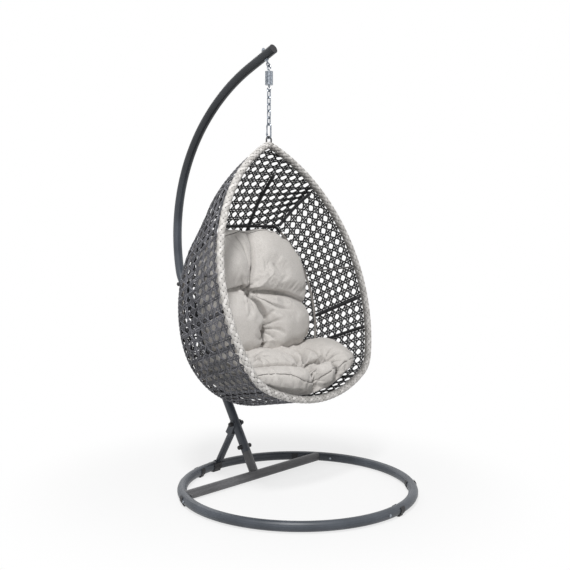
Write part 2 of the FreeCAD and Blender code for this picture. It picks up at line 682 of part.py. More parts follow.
cup = disc_shape(housing_low_z, housing_top_z, HOUSING_R, ROD_R + HOUSING_BORE_CLEAR, sides=0)
save("spring_housing", cup.cut(disc_shape(housing_low_z, cavity_top, HOUSING_R - HOUSING_WALL)))
plate = disc_shape(housing_low_z, cavity_low, HOUSING_R - HOUSING_WALL, ROD_R + HOUSING_BORE_CLEAR)
save("housing_end_plate", plate)

piston_top = cavity_top - SEAT_GAP - SWIVEL_HEAD_T - NUT_H - 1.5
piston_low = piston_top - PISTON_T
low_bow = bar_ring(on_axis(low_hook_centre_z), across, HOOK_R, HOOK_WIRE_R, up, bow_sweep)
low_shank = disc_shape(low_hook_centre_z + HOOK_R, piston_top + NUT_H, ROD_R)
save("draw_hook", low_bow.fuse(low_shank).removeSplitter())
save("spring_piston", disc_shape(piston_low, piston_top, PISTON_R, ROD_R + 0.05))
rod_nut = Part.Face(section_wire(on_axis(piston_top), up, 7.0, 6)).extrude(up * (NUT_H - 1))
save("draw_rod_nut", rod_nut.cut(disc_shape(piston_top - 1, piston_top + NUT_H, ROD_R + 0.05)))
spring = disc_shape(cavity_low + 0.05, piston_low - 0.05, SPRING_R + SPRING_WIRE_R, SPRING_R - SPRING_WIRE_R)
save("compression_spring", spring)


def oval(top_inner_z, inner_length, outer_width, wire_r, flat_in_yz):
    """Closed oval of bar, standing in the YZ or XZ plane; its inner top lies at top_inner_z."""
    bend_r = outer_width / 2 - wire_r
    high = on_axis(top_inner_z + wire_r - bend_r)
    low = on_axis(top_inner_z - inner_length - wire_r + bend_r)
    normal = across if flat_in_yz else V(0, 1, 0)
    side = normal.cross(up)
    top = bar_ring(high, normal, bend_r, wire_r, side * -1, 180.0)
    foot = bar_ring(low, normal, bend_r, wire_r, side, 180.0)
    legs = [rod(low + side * (n * bend_r), high + side * (n * bend_r), wire_r, WIRE_SIDES) for n in (-1, 1)]
    return top, foot, legs


link_inner = LINK_PITCH + SEAT_GAP
for i, z in enumerate(link_top_z):
    top, foot, legs = oval(z, link_inner, LINK_WIDTH, LINK_WIRE_R, i % 2 == 1)
    save("chain_link_%d" % (i + 1), top.fuse([foot] + legs).removeSplitter())

# Carabiner with a sprung gate on its rear side, and its hinge pin
carabiner_y = CARABINER_WIDTH / 2 - CARABINER_WIRE_R
top, foot, legs = oval(carabiner_top_z, CARABINER_INNER, CARABINER_WIDTH, CARABINER_WIRE_R, True)
gate_middle_z = carabiner_top_z - CARABINER_INNER / 2
gate_low_z = gate_middle_z - GATE_LENGTH / 2
gate_high_z = gate_middle_z + GATE_LENGTH / 2
gate_space_corner = V(-15, hang_y + carabiner_y - 6, gate_low_z - SEAT_GAP)
gate_space = Part.makeBox(30, 12, GATE_LENGTH + 2 * SEAT_GAP, gate_space_corner)
carabiner = top.fuse([foot] + legs).removeSplitter().cut(gate_space)
hinge = on_axis(gate_low_z + KNUCKLE_R, carabiner_y)
for side in (-1, 1):
    inner = hinge + across * (side * (KNUCKLE_HALF + SEAT_GAP))
    outer = hinge + across * (side * EAR_OUT)
    cheek = rod(inner, outer, KNUCKLE_R, SMALL_SIDES).fuse(
        Part.makeBox(EAR_OUT - KNUCKLE_HALF - SEAT_GAP, 2 * KNUCKLE_R, KNUCKLE_R + 1.5,
                     V(min(inner.x, outer.x), hinge.y - KNUCKLE_R, gate_low_z - 1.5)))
    carabiner = carabiner.fuse(cheek)
carabiner = carabiner.cut(rod(hinge - across * 9, hinge + across * 9, HINGE_R, SMALL_SIDES)).removeSplitter()
save("carabiner_body", carabiner)
save("gate_pin", rod(hinge - across * EAR_OUT, hinge + across * EAR_OUT, HINGE_R, SMALL_SIDES))
gate = rod(hinge, on_axis(gate_high_z, carabiner_y), GATE_R, WIRE_SIDES)
gate = gate.cut(Part.makeBox(20, 20, 2 * KNUCKLE_R + 1, hinge - V(10, 10, KNUCKLE_R)))
neck = Part.makeBox(2 * KNUCKLE_HALF, 2 * GATE_R, KNUCKLE_R + 2, hinge - V(KNUCKLE_HALF, GATE_R, 0))
knuckle = rod(hinge - across * KNUCKLE_HALF, hinge + across * KNUCKLE_HALF, KNUCKLE_R, SMALL_SIDES)
gate = gate.fuse([neck, knuckle])
gate = gate.cut(rod(hinge - across * 9, hinge + across * 9, HINGE_R + 0.1, SMALL_SIDES)).removeSplitter()
save("carabiner_gate", gate)

# Rim: a steel tube, its plaited wrap, and the loop that hangs it
rim_normal = on_rim(0, 0, 1) - apex
hoop_normal = on_hoop(0, 0, 1) - hoop_low


def closed_bar(edges, radius, level, sides=WIRE_SIDES):
    """Bar with flats along half of a symmetric outline, joined to its mirror image."""
    half = sweep(edges, radius, sides, level)
    return half.fuse(half.mirror(V(0, 0, 0), across))


rim_half = rim_line.edges(on_rim)
rim_tube = closed_bar(rim_half, RIM_TUBE_R, rim_normal, HIDDEN_SIDES)
wrap_bore = closed_bar(rim_half, RIM_TUBE_R + WRAP_CLEAR, rim_normal, HIDDEN_SIDES)
wrap = closed_bar(rim_half, WRAP_R, rim_normal).cut(wrap_bore)
loop_centre = V(0, hang_y, loop_z - LOOP_R)
loop = bar_ring(loop_centre, V(0, 1, 0), LOOP_R, LOOP_WIRE_R, across * -1, 180.0)
for side in (-1, 1):
    leg_top = loop_centre + across * (side * LOOP_R)
    leg_foot = V(leg_top.x, hang_y, apex.z)
    loop = loop.fuse(rod(leg_foot, leg_top, LOOP_WIRE_R, WIRE_SIDES))
    wrap = wrap.cut(rod(leg_foot, leg_top, LOOP_WIRE_R + WRAP_CLEAR, WIRE_SIDES))
save("rim_tube", rim_tube)
save("rim_wrap", wrap)
tube_top = closed_bar(rim_half[:2], RIM_TUBE_R + WRAP_CLEAR / 2, rim_normal, HIDDEN_SIDES)
save("hanging_loop", loop.cut(tube_top).removeSplitter())

# Skin. Rows of the side walls and seat run from the rim to the hoop
rim_length = rim_line.length


def rim_row(t, side):
    """Front end of a row: 0 at the bottom, 1 at the shoulder."""
    (u, v), h = rim_line.at(rim_length - t * (rim_length - shoulder_s), SKIN_OVERHANG)
    return on_rim(side * u, v, skin_behind)


def hoop_row(t, side):
    """Rear end of a row: 0 at the bottom, 1 at the hoop's corner."""
    (u, v), h = hoop_line.at(t * hoop_corner_s)
    return on_hoop(side * u, v, -0.2)


def band(first, second):
    """Faces between two lines of points, straight from point to point."""
    lines = [[Part.makeLine(a, b) for a, b in zip(row, row[1:])] for row in (first, second)]
    return [Part.makeRuledSurface(a, b) for a, b in zip(*lines)]


def thin_skin(rows):
    """Solid sheet through rows of points."""
    inner_rows = [[inward(p, SKIN_T) for p in row] for row in rows]
    faces = band(rows[0], inner_rows[0]) + band(rows[-1], inner_rows[-1])
    for grid in (rows, inner_rows):
        for first, second in zip(grid, grid[1:]):
            faces += band(first, second)
    for end in (0, -1):
        faces += band([row[end] for row in rows], [row[end] for row in inner_rows])
    shell = Part.makeShell(faces)
    shell.sewShape()
    sheet = Part.makeSolid(shell)
    if sheet.Volume < 0:
        sheet.reverse()
    return sheet


def row_points(t, side):
    """Front end, middle and rear end of a row; the row at the corner rib bulges."""
    front, rear = rim_row(t, side), hoop_row(t, side)
    middle = (front + rear) / 2
    return [front, inward(middle, -CORNER_BULGE) if t > 1 - 2 * half_seam else middle, rear]


def row_skin(shares, sides):
    return thin_skin([row_points(t, side) for t, side in zip(shares, sides)])


band_shares = [mark / hoop_corner_s for mark in hoop_line.marks(HOOP_BANDS)]
seat_shares = [t for t in band_shares if t <= band_shares[SEAT_BANDS] + 1e-9]
half_seam = SEAM / hoop_corner_s
wall_shares = [seat_shares[-1] + half_seam] + band_shares[SEAT_BANDS + 1:-1] + [1 - half_seam]
seat_skin = row_skin(seat_shares[:0:-1] + seat_shares, [-1] * SEAT_BANDS + [1] * (SEAT_BANDS + 1))
side_skin = row_skin(wall_shares, [-1] * len(wall_shares))
save("woven_seat", seat_skin)
save("woven_side_left", side_skin)
save("woven_side_right", row_skin(wall_shares, [1] * len(wall_shares)))

# Rows of the back: places on the edge line, and their distance along it
rib_length = (hoop_corner - shoulder).Length
back_places = [(0, BACK_START + (shoulder_s - BACK_START) * i / RIM_BANDS) for i in range(RIM_BANDS + 1)]
back_runs = [s for rank, s in back_places]
back_places.append((1, 0.5))
back_runs.append(shoulder_s + rib_length / 2)
for t in band_shares[:0:-1]:
    back_places.append((2, t * hoop_corner_s))
    back_runs.append(shoulder_s + rib_length + (1 - t) * hoop_corner_s)
back_shares = [(run - back_runs[0]) / (back_runs[-1] - back_runs[0]) for run in back_runs]


def back_row(place, share):
    """Points of an arc across the back, at a place of the edge line."""
    rim_start = on_rim(0, -SKIN_OVERHANG, skin_behind) - apex
    middle = back_middle(share) + rim_start * (1 - share) ** 3 + V(0, 1.0, 0)
    arc = Part.Arc(side_edge(*place, -1), middle, side_edge(*place, 1))
    step = (arc.LastParameter - arc.FirstParameter) / BACK_COLUMNS
    return [arc.value(arc.FirstParameter + step * i) for i in range(BACK_COLUMNS + 1)]


back_rows = [back_row(place, share) for place, share in zip(back_places, back_shares)]
back_skin = thin_skin(back_rows)
save("woven_back", back_skin)


def back_point(share, column):
    """Point of the back at a share of the way from the apex: column runs from -1 at the left edge to 1."""
    i = max(k for k in range(len(back_shares) - 1) if back_shares[k] <= share)
    part = (share - back_shares[i]) / (back_shares[i + 1] - back_shares[i])
    row = [a + (b - a) * part for a, b in zip(back_rows[i], back_rows[i + 1])]
    place = (column + 1) / 2 * BACK_COLUMNS
    j = min(int(place), BACK_COLUMNS - 1)
    return row[j] + (row[j + 1] - row[j]) * (place - j)


# Frame inside the skin: hoop, corner ribs, roof ribs, waist rods, side ribs, struts and seat bars
hoop_half = hoop_line.edges(on_hoop, -HOOP_DEPTH)
save("rear_hoop", closed_bar(hoop_half, HOOP_ROD_R, hoop_normal, HIDDEN_SIDES))
hoop_space = closed_bar(hoop_half, HOOP_ROD_R + SKIN_GAP, hoop_normal, HIDDEN_SIDES)
wrap_space = closed_bar(rim_half, WRAP_R + SKIN_GAP, rim_normal)


def coped(bar):
    """Largest piece of a bar between the rim's wrap and the hoop."""
    pieces = bar.cut(wrap_space).cut(hoop_space).Solids
    return max(pieces, key=lambda piece: piece.Volume)


def row_bar(ends, side, radius):
    """Straight bar inside the skin, from a place on the rim to one on the hoop."""
    depth = SKIN_T + BAR_GAP + radius
    front, rear = inward(rim_row(ends[0], side), depth), inward(hoop_row(ends[1], side), depth)
    past = (rear - front).normalize() * 12
    return coped(rod(front - past, rear, radius, WIRE_SIDES))


def corner_rib(side):
    """Bent rib under the edge between back and side wall."""
    depth = SKIN_T + BAR_GAP + RIB_R + CORNER_BULGE / 4
    points = [inward(mirrored(p, side), depth) for p in (shoulder, corner_middle, hoop_corner)]
    return coped(sweep([Part.Arc(*points).toShape()], RIB_R, WIRE_SIDES, hoop_normal))


for side, word in ((-1, "left"), (1, "right")):
    for i, ends in enumerate(SIDE_RIBS):
        save("side_rib_%s_%d" % (word, i + 1), row_bar(ends, side, RIB_R))
    save("side_strut_" + word, row_bar(SIDE_STRUT, side, STRUT_R))
    save("corner_rib_" + word, corner_rib(side))
save("seat_bars", Part.makeCompound([row_bar(SEAT_BARS, side, RIB_R) for side in (-1, 1)]))


def waist_rod(share, radius):
    depth = SKIN_T + BAR_GAP + STRUT_R + COLUMN_INSIDE
    points = [inward(back_point(share, column), depth) for column in (-1, 0, 1)]
    return sweep([Part.Arc(*points).toShape()], radius, HIDDEN_SIDES, up)


save("waist_rods", Part.makeCompound([coped(waist_rod(share, STRUT_R)) for share in WAIST_RODS]))


def back_at_x(share, x):
    """Point of the back at a distance across."""
    low, high = -1.0, 1.0
    for i in range(30):
        middle = (low + high) / 2
        if back_point(share, middle).x < x:
            low = middle
        else:
            high = middle
    return back_point(share, low)


roof_ribs = []
upper_rod_space = waist_rod(WAIST_RODS[0], STRUT_R + 2 * SKIN_GAP)
foot_share = WAIST_RODS[0] - STRUT_R / 2 / back_line.length
for side in (-1, 1):
    depth = SKIN_T + 2 * BAR_GAP + RIB_R
    places = zip((0.10, 0.38, foot_share), ROOF_RIB_X)
    marks = [inward(back_at_x(share, side * x), depth) for share, x in places]
    roof_rib = sweep([Part.Arc(*marks).toShape()], RIB_R, WIRE_SIDES, across).cut(upper_rod_space)
    roof_ribs.append(coped(roof_rib))
save("roof_ribs", Part.makeCompound(roof_ribs))

# Cushions
skins = Part.makeCompound([seat_skin, side_skin, side_skin.mirror(V(0, 0, 0), across), back_skin])


def skin_cut(start, direction):
    """Distances along a line at which it meets the skins."""
    line = Part.makeLine(start, start + direction * 900)
    return [(v.Point - start).dot(direction) for v in line.common(skins).Vertexes]


def floor_over(x, behind):
    """Height of a cushion's underside over the skin."""
    start = V(x, hang_y + behind, hoop_low.z + 300)
    return start.z - min(skin_cut(start, up * -1)) + CUSHION_OVER_SKIN


def chorded(arcs, counts):
    """Closed outline of straight stretches along arcs that follow one another, each given by three points."""
    points = []
    for arc, count in zip(arcs, counts):
        points += Part.Arc(*arc).toShape().discretize(count + 1)[:-1]
    return points


def seat_section(share):
    """The seat cushion's outline at a share of its half width."""
    x = SEAT_HALF * share
    edge = share ** 4
    front, rear = SEAT_FRONT + SEAT_DRAW[0] * edge, SEAT_REAR - SEAT_DRAW[1] * edge
    hoop_y, front_in, rear_in = HOOP_BEHIND + 8, front + SEAT_ROUND, rear - SEAT_ROUND
    low_places = (front_in, hoop_y, (hoop_y + rear_in) / 2, rear_in)
    low = [V(x, hang_y + behind, floor_over(x, behind)) for behind in low_places]
    rear_high = V(x, hang_y + rear_in, hoop_low.z + SEAT_REAR_HEIGHT + SEAT_END_RISE / 2 * edge)
    crown = V(x, hang_y + SEAT_CROWN_BEHIND - SEAT_END_FORWARD * edge,
              hoop_low.z + SEAT_CROWN_HEIGHT + SEAT_END_RISE * edge)
    front_high = V(x, hang_y + front_in, hoop_low.z + SEAT_FRONT_HEIGHT + SEAT_END_RISE / 2 * edge)
    rear_middle = V(x, hang_y + rear, (low[3].z + rear_high.z) / 2)
    front_middle = V(x, hang_y + front, (low[0].z + front_high.z) / 2)
    arcs = [low[1:4], [low[3], rear_middle, rear_high], [rear_high, crown, front_high],
            [front_high, front_middle, low[0]]]
    points = chorded(arcs, SEAT_CHORDS)
    return Part.makePolygon(points + [low[0], points[0]])


def dimple(point, direction):
    """Funnel that presses a tuft into a surface at a point."""
    radii = (TUFT_FOOT_R, 2 * TUFT_R - TUFT_FOOT_R)
    return taper(point, direction, radii, (-TUFT_DEPTH, TUFT_DEPTH), WIRE_SIDES)


def surface_hit(shape, start, direction):
    """First point of a solid along a line."""
    line = Part.makeLine(start, start + direction * 900)
    return min((v.Point for v in line.common(shape).Vertexes), key=lambda p: (p - start).dot(direction))


seat_stations = [-g for g in SEAT_STATIONS[:0:-1]] + list(SEAT_STATIONS)
seat_cushion = Part.makeLoft([seat_section(g) for g in seat_stations], True, True)
for x, behind in SEAT_TUFTS:
    seat_cushion = seat_cushion.cut(dimple(surface_hit(seat_cushion, V(x, hang_y + behind, 900), up * -1), up))
save("seat_cushion", seat_cushion)

back_foot_z = hoop_low.z + SEAT_CROWN_HEIGHT + 0.4


def back_section(height_share, width_share, thick_share):
    z = back_foot_z + BACK_HEIGHT * height_share
    half = BACK_HALF * width_share
    thick = BACK_THICK * thick_share
    middle = BACK_LOW_FRONT + (BACK_TOP_FRONT - BACK_LOW_FRONT) * height_share ** 1.3 + BACK_THICK / 2
    front, rear = hang_y + middle - thick / 2, hang_y + middle + thick / 2
    side_y = hang_y + middle
    ring = [
        V(-half, side_y - 0.3 * thick, z), V(0, front, z), V(half, side_y - 0.3 * thick, z),
        V(half + 0.2 * thick, side_y, z),
        V(half, side_y + 0.3 * thick, z), V(0, rear, z), V(-half, side_y + 0.3 * thick, z),
        V(-half - 0.2 * thick, side_y, z)]
    ring.append(ring[0])
    points = chorded([ring[i:i + 3] for i in (0, 2, 4, 6)], BACK_CHORDS)
    return Part.makePolygon(points + points[:1])


back_cushion = Part.makeLoft([back_section(*row) for row in BACK_SECTIONS], True, True)
for x, share in BACK_TUFTS:
    start = V(x, hang_y - 300, back_foot_z + BACK_HEIGHT * share)
    back_cushion = back_cushion.cut(dimple(surface_hit(back_cushion, start, V(0, 1, 0)), V(0, -1, 0)))
save("back_cushion", back_cushion)
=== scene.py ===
import json
import math

import bpy
import numpy as np
from mathutils import Matrix, Vector
from mathutils.bvhtree import BVHTree


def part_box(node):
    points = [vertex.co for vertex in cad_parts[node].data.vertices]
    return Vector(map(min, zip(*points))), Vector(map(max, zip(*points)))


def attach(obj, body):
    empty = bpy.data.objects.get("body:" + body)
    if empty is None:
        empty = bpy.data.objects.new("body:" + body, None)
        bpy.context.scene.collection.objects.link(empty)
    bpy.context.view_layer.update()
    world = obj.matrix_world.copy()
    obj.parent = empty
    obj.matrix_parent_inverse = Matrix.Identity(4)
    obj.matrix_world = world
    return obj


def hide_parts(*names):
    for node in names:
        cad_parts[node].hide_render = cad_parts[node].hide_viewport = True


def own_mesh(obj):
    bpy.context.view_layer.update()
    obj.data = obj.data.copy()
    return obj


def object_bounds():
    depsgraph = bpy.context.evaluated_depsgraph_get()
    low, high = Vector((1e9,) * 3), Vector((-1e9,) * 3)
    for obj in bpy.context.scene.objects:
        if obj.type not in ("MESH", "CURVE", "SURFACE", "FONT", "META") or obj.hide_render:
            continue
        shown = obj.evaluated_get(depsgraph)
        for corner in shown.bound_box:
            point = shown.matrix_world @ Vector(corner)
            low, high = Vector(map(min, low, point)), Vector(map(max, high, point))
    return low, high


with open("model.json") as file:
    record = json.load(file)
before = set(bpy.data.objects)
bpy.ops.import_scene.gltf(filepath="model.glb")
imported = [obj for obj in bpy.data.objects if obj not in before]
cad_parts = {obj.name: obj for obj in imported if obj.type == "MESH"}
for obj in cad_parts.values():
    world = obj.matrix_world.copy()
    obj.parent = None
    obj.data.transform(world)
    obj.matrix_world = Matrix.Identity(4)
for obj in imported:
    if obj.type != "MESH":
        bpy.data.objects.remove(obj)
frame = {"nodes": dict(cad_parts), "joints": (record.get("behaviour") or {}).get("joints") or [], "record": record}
cad_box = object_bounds()
nodes = frame["nodes"]
nod_place = next(joint["pos_m"] for joint in frame["joints"] if joint["name"] == "basket_nod")

# Camera, fitted to the photograph; metres and degrees
CAMERA_PLACE = (-2.7912, -2.6560, 1.1914)
CAMERA_PAN = -47.189        # from +Y towards +X is negative
CAMERA_PITCH = -4.2543
CAMERA_ROLL = 0.2205
CAMERA_LENS = 54.95
CAMERA_SENSOR = 36.0

# Basket outlines in metres and degrees, as the frame's own
APEX_BELOW_NOD = 0.038      # the rim's apex under the joint basket_nod
HANG_Y = nod_place[1]
APEX = np.array((0.0, HANG_Y, nod_place[2] - APEX_BELOW_NOD))
START_HEADING = 90.0        # rim and hoop both start sideways from the mid-plane
RIM_TILT = math.radians(16.2)
RIM_BENDS = ((0.040, 65.0), (0.735, -25.0), (0.158, -62.0))
SHOULDER_HEADING = 41.0
WRAP_R = 0.016
WRAP_GAP = 0.0003
SKIN_BEHIND = WRAP_R + WRAP_GAP
SKIN_OVERHANG = 0.008
HOOP_TILT = math.radians(10.0)
HOOP_BEHIND = 0.023
HOOP_DROP = 1.163
HOOP_BENDS = ((0.530, 60.0), (0.340, 10.0), (0.545, -51.0))
BACK_HEADINGS = (50.0, -10.0, -80.0)
BACK_START = 0.062
BACK_END_BANDS = 2          # the back ends at the hoop after half of its first bend
LOW_EDGE_BEHIND = 0.001     # the back's low edge, behind the hoop
CORE_BELOW = 0.610
CORNER_BULGE = 0.026        # of the corner ribs and the weave on them, away from the core
BULGE_FROM = 0.8            # share of the side wall above which its rows bulge too

# Weave: pairs of strands both ways, single diagonals through the middles between crossings
PITCH = 0.042
PAIR_HALF = 0.104           # of the pitch
STRAND_WIDTH = 0.0063
STRAND_THICK = 0.0024
STRAND_SIDES = 6
STEP = 0.125                # of the pitch, between rings of a strand
NORMAL_STEP = 0.02          # of the pitch, between points that give a normal
MIN_RUN = 3                 # rings in the shortest strand
SKIN_MIDDLE = 0.003         # strands' middle, inside the skin's outer face
ROW_WAVE = 0.0010
DIAGONAL_WAVE = 0.0016
RIM_REACH = 0.008           # strands run on into the wrap
APEX_REACH = 0.4            # of the pitch, on above the back's first row
FIRST_COLUMN = 0.5          # of the pitch, from the rim's edge
WALL_COLUMNS = (-1, 12)     # more than the widest row has
BACK_COLUMNS = (-12, 12)
ROW_SAMPLES = 200
TONE_SEED = 7

rng = np.random.default_rng(TONE_SEED)      # one draw for each strand, as they are laid


class BendPath:
    """Tangent bends in a plane. A heading is measured from the v axis towards u."""

    def __init__(self, heading, bends):
        self.starts, self.points, self.headings, self.radii = [], [], [], []
        self.length = 0.0
        point, heading = np.zeros(2), math.radians(heading)
        for radius, end in bends:
            turn = math.radians(end) - heading
            signed = math.copysign(radius, turn)
            self.starts.append(self.length)
            self.points.append(point)
            self.headings.append(heading)
            self.radii.append(signed)
            after = heading + turn
            point = point + signed * np.array((math.cos(heading) - math.cos(after),
                                               math.sin(after) - math.sin(heading)))
            self.length += radius * abs(turn)
            heading = after
        self.end = point

    def at(self, s, offset=0.0):
        """Places u and v at lengths s, moved to the right of the heading by offset."""
        s = np.asarray(s, float)
        i = np.clip(np.searchsorted(self.starts, s, side="right") - 1, 0, len(self.starts) - 1)
        first, radius = np.array(self.headings)[i], np.array(self.radii)[i]
        start = np.array(self.points)[i]
        heading = first + (s - np.array(self.starts)[i]) / radius
        u = start[..., 0] + radius * (np.cos(first) - np.cos(heading)) + offset * np.cos(heading)
        v = start[..., 1] + radius * (np.sin(heading) - np.sin(first)) - offset * np.sin(heading)
        return u, v


def closed_rim():
    """Rim from the apex to the bottom's middle; its last bend ends on the mid-plane."""
    open_path = BendPath(START_HEADING, RIM_BENDS)
    last = open_path.end[0] / math.cos(math.radians(RIM_BENDS[-1][1]))
    return BendPath(START_HEADING, RIM_BENDS + ((last, -START_HEADING),))


def back_path():
    """Mid-plane line of the back, two bends from the apex to the hoop's lowest point."""
    a, b, c = (math.radians(h) for h in BACK_HEADINGS)
    first = (math.cos(b) - math.cos(a), math.sin(a) - math.sin(b))
    second = (math.cos(c) - math.cos(b), math.sin(b) - math.sin(c))
    det = first[0] * second[1] - first[1] * second[0]
    r1 = (HOOP_BEHIND * second[1] - HOOP_DROP * second[0]) / det
    r2 = (first[0] * HOOP_DROP - first[1] * HOOP_BEHIND) / det
    return BendPath(BACK_HEADINGS[0], ((abs(r1), BACK_HEADINGS[1]), (abs(r2), BACK_HEADINGS[2])))


rim = closed_rim()
hoop = BendPath(START_HEADING, HOOP_BENDS)
back = back_path()
shoulder_s = (RIM_BENDS[0][0] * math.radians(START_HEADING - RIM_BENDS[0][1])
              + RIM_BENDS[1][0] * math.radians(RIM_BENDS[0][1] - SHOULDER_HEADING))
hoop_low = APEX + np.array((0.0, HOOP_BEHIND, -HOOP_DROP))
core = APEX - np.array((0.0, 0.0, CORE_BELOW))


def on_rim(u, v, behind=0.0):
    """Point of the rim's plane, u sideways and v down from the apex."""
    y = behind * math.cos(RIM_TILT) - v * math.sin(RIM_TILT)
    z = -behind * math.sin(RIM_TILT) - v * math.cos(RIM_TILT)
    return APEX + np.stack(np.broadcast_arrays(u, y, z), -1)


def on_hoop(u, v, behind=0.0):
    """Point of the hoop's plane, u sideways and v up from its lowest point."""
    y = behind * math.cos(HOOP_TILT) + v * math.sin(HOOP_TILT)
    z = -behind * math.sin(HOOP_TILT) + v * math.cos(HOOP_TILT)
    return hoop_low + np.stack(np.broadcast_arrays(u, y, z), -1)


def unit(vectors):
    return vectors / np.linalg.norm(vectors, axis=-1, keepdims=True)


def bulged(height, share):
    """Parabola from 0 to 0 with its height half way."""
    return 4 * height * share * (1 - share)


def add_object(name, data):
    """A new object in the scene's collection."""
    obj = bpy.data.objects.new(name, data)
    bpy.context.scene.collection.objects.link(obj)
    return obj


class Bundle:
    """Many strands gathered into one mesh, each with its own tone."""

    def __init__(self, sides=STRAND_SIDES):
        self.points, self.faces, self.caps, self.tones = [], [], [], []
        self.count = 0
        self.sides = sides

    def add(self, line, normals, width, thick):
        """A strand with an oval section along a line, flat side to its normals."""
        tangent = unit(np.gradient(line, axis=0))
        side = unit(np.cross(tangent, normals))
        level = np.cross(side, tangent)
        n, k = len(line), self.sides
        turn = 2 * math.pi * (np.arange(k) + 0.5) / k
        ring = (line[:, None] + side[:, None] * (np.cos(turn) * width / 2)[None, :, None]
                + level[:, None] * (np.sin(turn) * thick / 2)[None, :, None])
        base = self.count
        self.points.append(ring.reshape(-1, 3))
        i = base + (np.arange(n - 1) * k)[:, None]
        a, b = np.arange(k)[None], (np.arange(k)[None] + 1) % k
        self.faces.append(np.stack([i + a, i + b, i + k + b, i + k + a], -1).reshape(-1, 4))
        self.count += n * k
        self.tones.append(np.full(n * k, rng.random(), np.float32))
        self.caps.append([base + j for j in range(k)][::-1])
        self.caps.append([base + (n - 1) * k + j for j in range(k)])

    def build(self, name, material, body):
        """The bundle as one piece on a body."""
        mesh = bpy.data.meshes.new(name)
        faces = np.concatenate(self.faces).tolist() + self.caps
        mesh.from_pydata(np.concatenate(self.points).tolist(), [], faces)
        mesh.validate()
        mesh.shade_smooth()
        mesh.materials.append(material)
        tone = mesh.attributes.new("tone", "FLOAT", "POINT")
        tone.data.foreach_set("value", np.concatenate(self.tones))
        obj = add_object(name, mesh)
        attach(obj, body)
        return obj


class WallSurface:
    """Side walls and seat as one band from the left shoulder, under the bottom, to the right one.
    X runs in pitches from the rim's edge to the hoop, Y in rows from the bottom's middle."""

    rows = round((rim.length - shoulder_s) / PITCH)

    def ends(self, y):
        """A row's ends on the rim's edge and on the hoop."""
        share = y / self.rows
        side, t = np.sign(share), np.abs(share)
        u, v = rim.at(rim.length - t * (rim.length - shoulder_s), SKIN_OVERHANG)
        front = on_rim(side * u, v, SKIN_BEHIND)
        u, v = hoop.at(t * hoop.length)
        return front, on_hoop(side * u, v)

    def point(self, x, y):
        front, rear = self.ends(y)
        along = (x + FIRST_COLUMN) * PITCH
        place = front + unit(rear - front) * along[..., None]
        share = along / np.linalg.norm(rear - front, axis=-1)
        upper = np.maximum((np.abs(y) / self.rows - BULGE_FROM) / (1 - BULGE_FROM), 0) ** 2
        return place + unit(place - core) * (bulged(CORNER_BULGE, share) * upper)[..., None]

    def inside(self, x, y):
        """Above 0 inside the surface, and 0 on its edge."""
        front, rear = self.ends(np.clip(y, -self.rows, self.rows))
        length = np.linalg.norm(rear - front, axis=-1) / PITCH
        from_rim = x + FIRST_COLUMN + RIM_REACH / PITCH
        return np.minimum.reduce([from_rim, length - FIRST_COLUMN - x, self.rows - np.abs(y)])

    def domain(self):
        return WALL_COLUMNS, (-self.rows, self.rows)


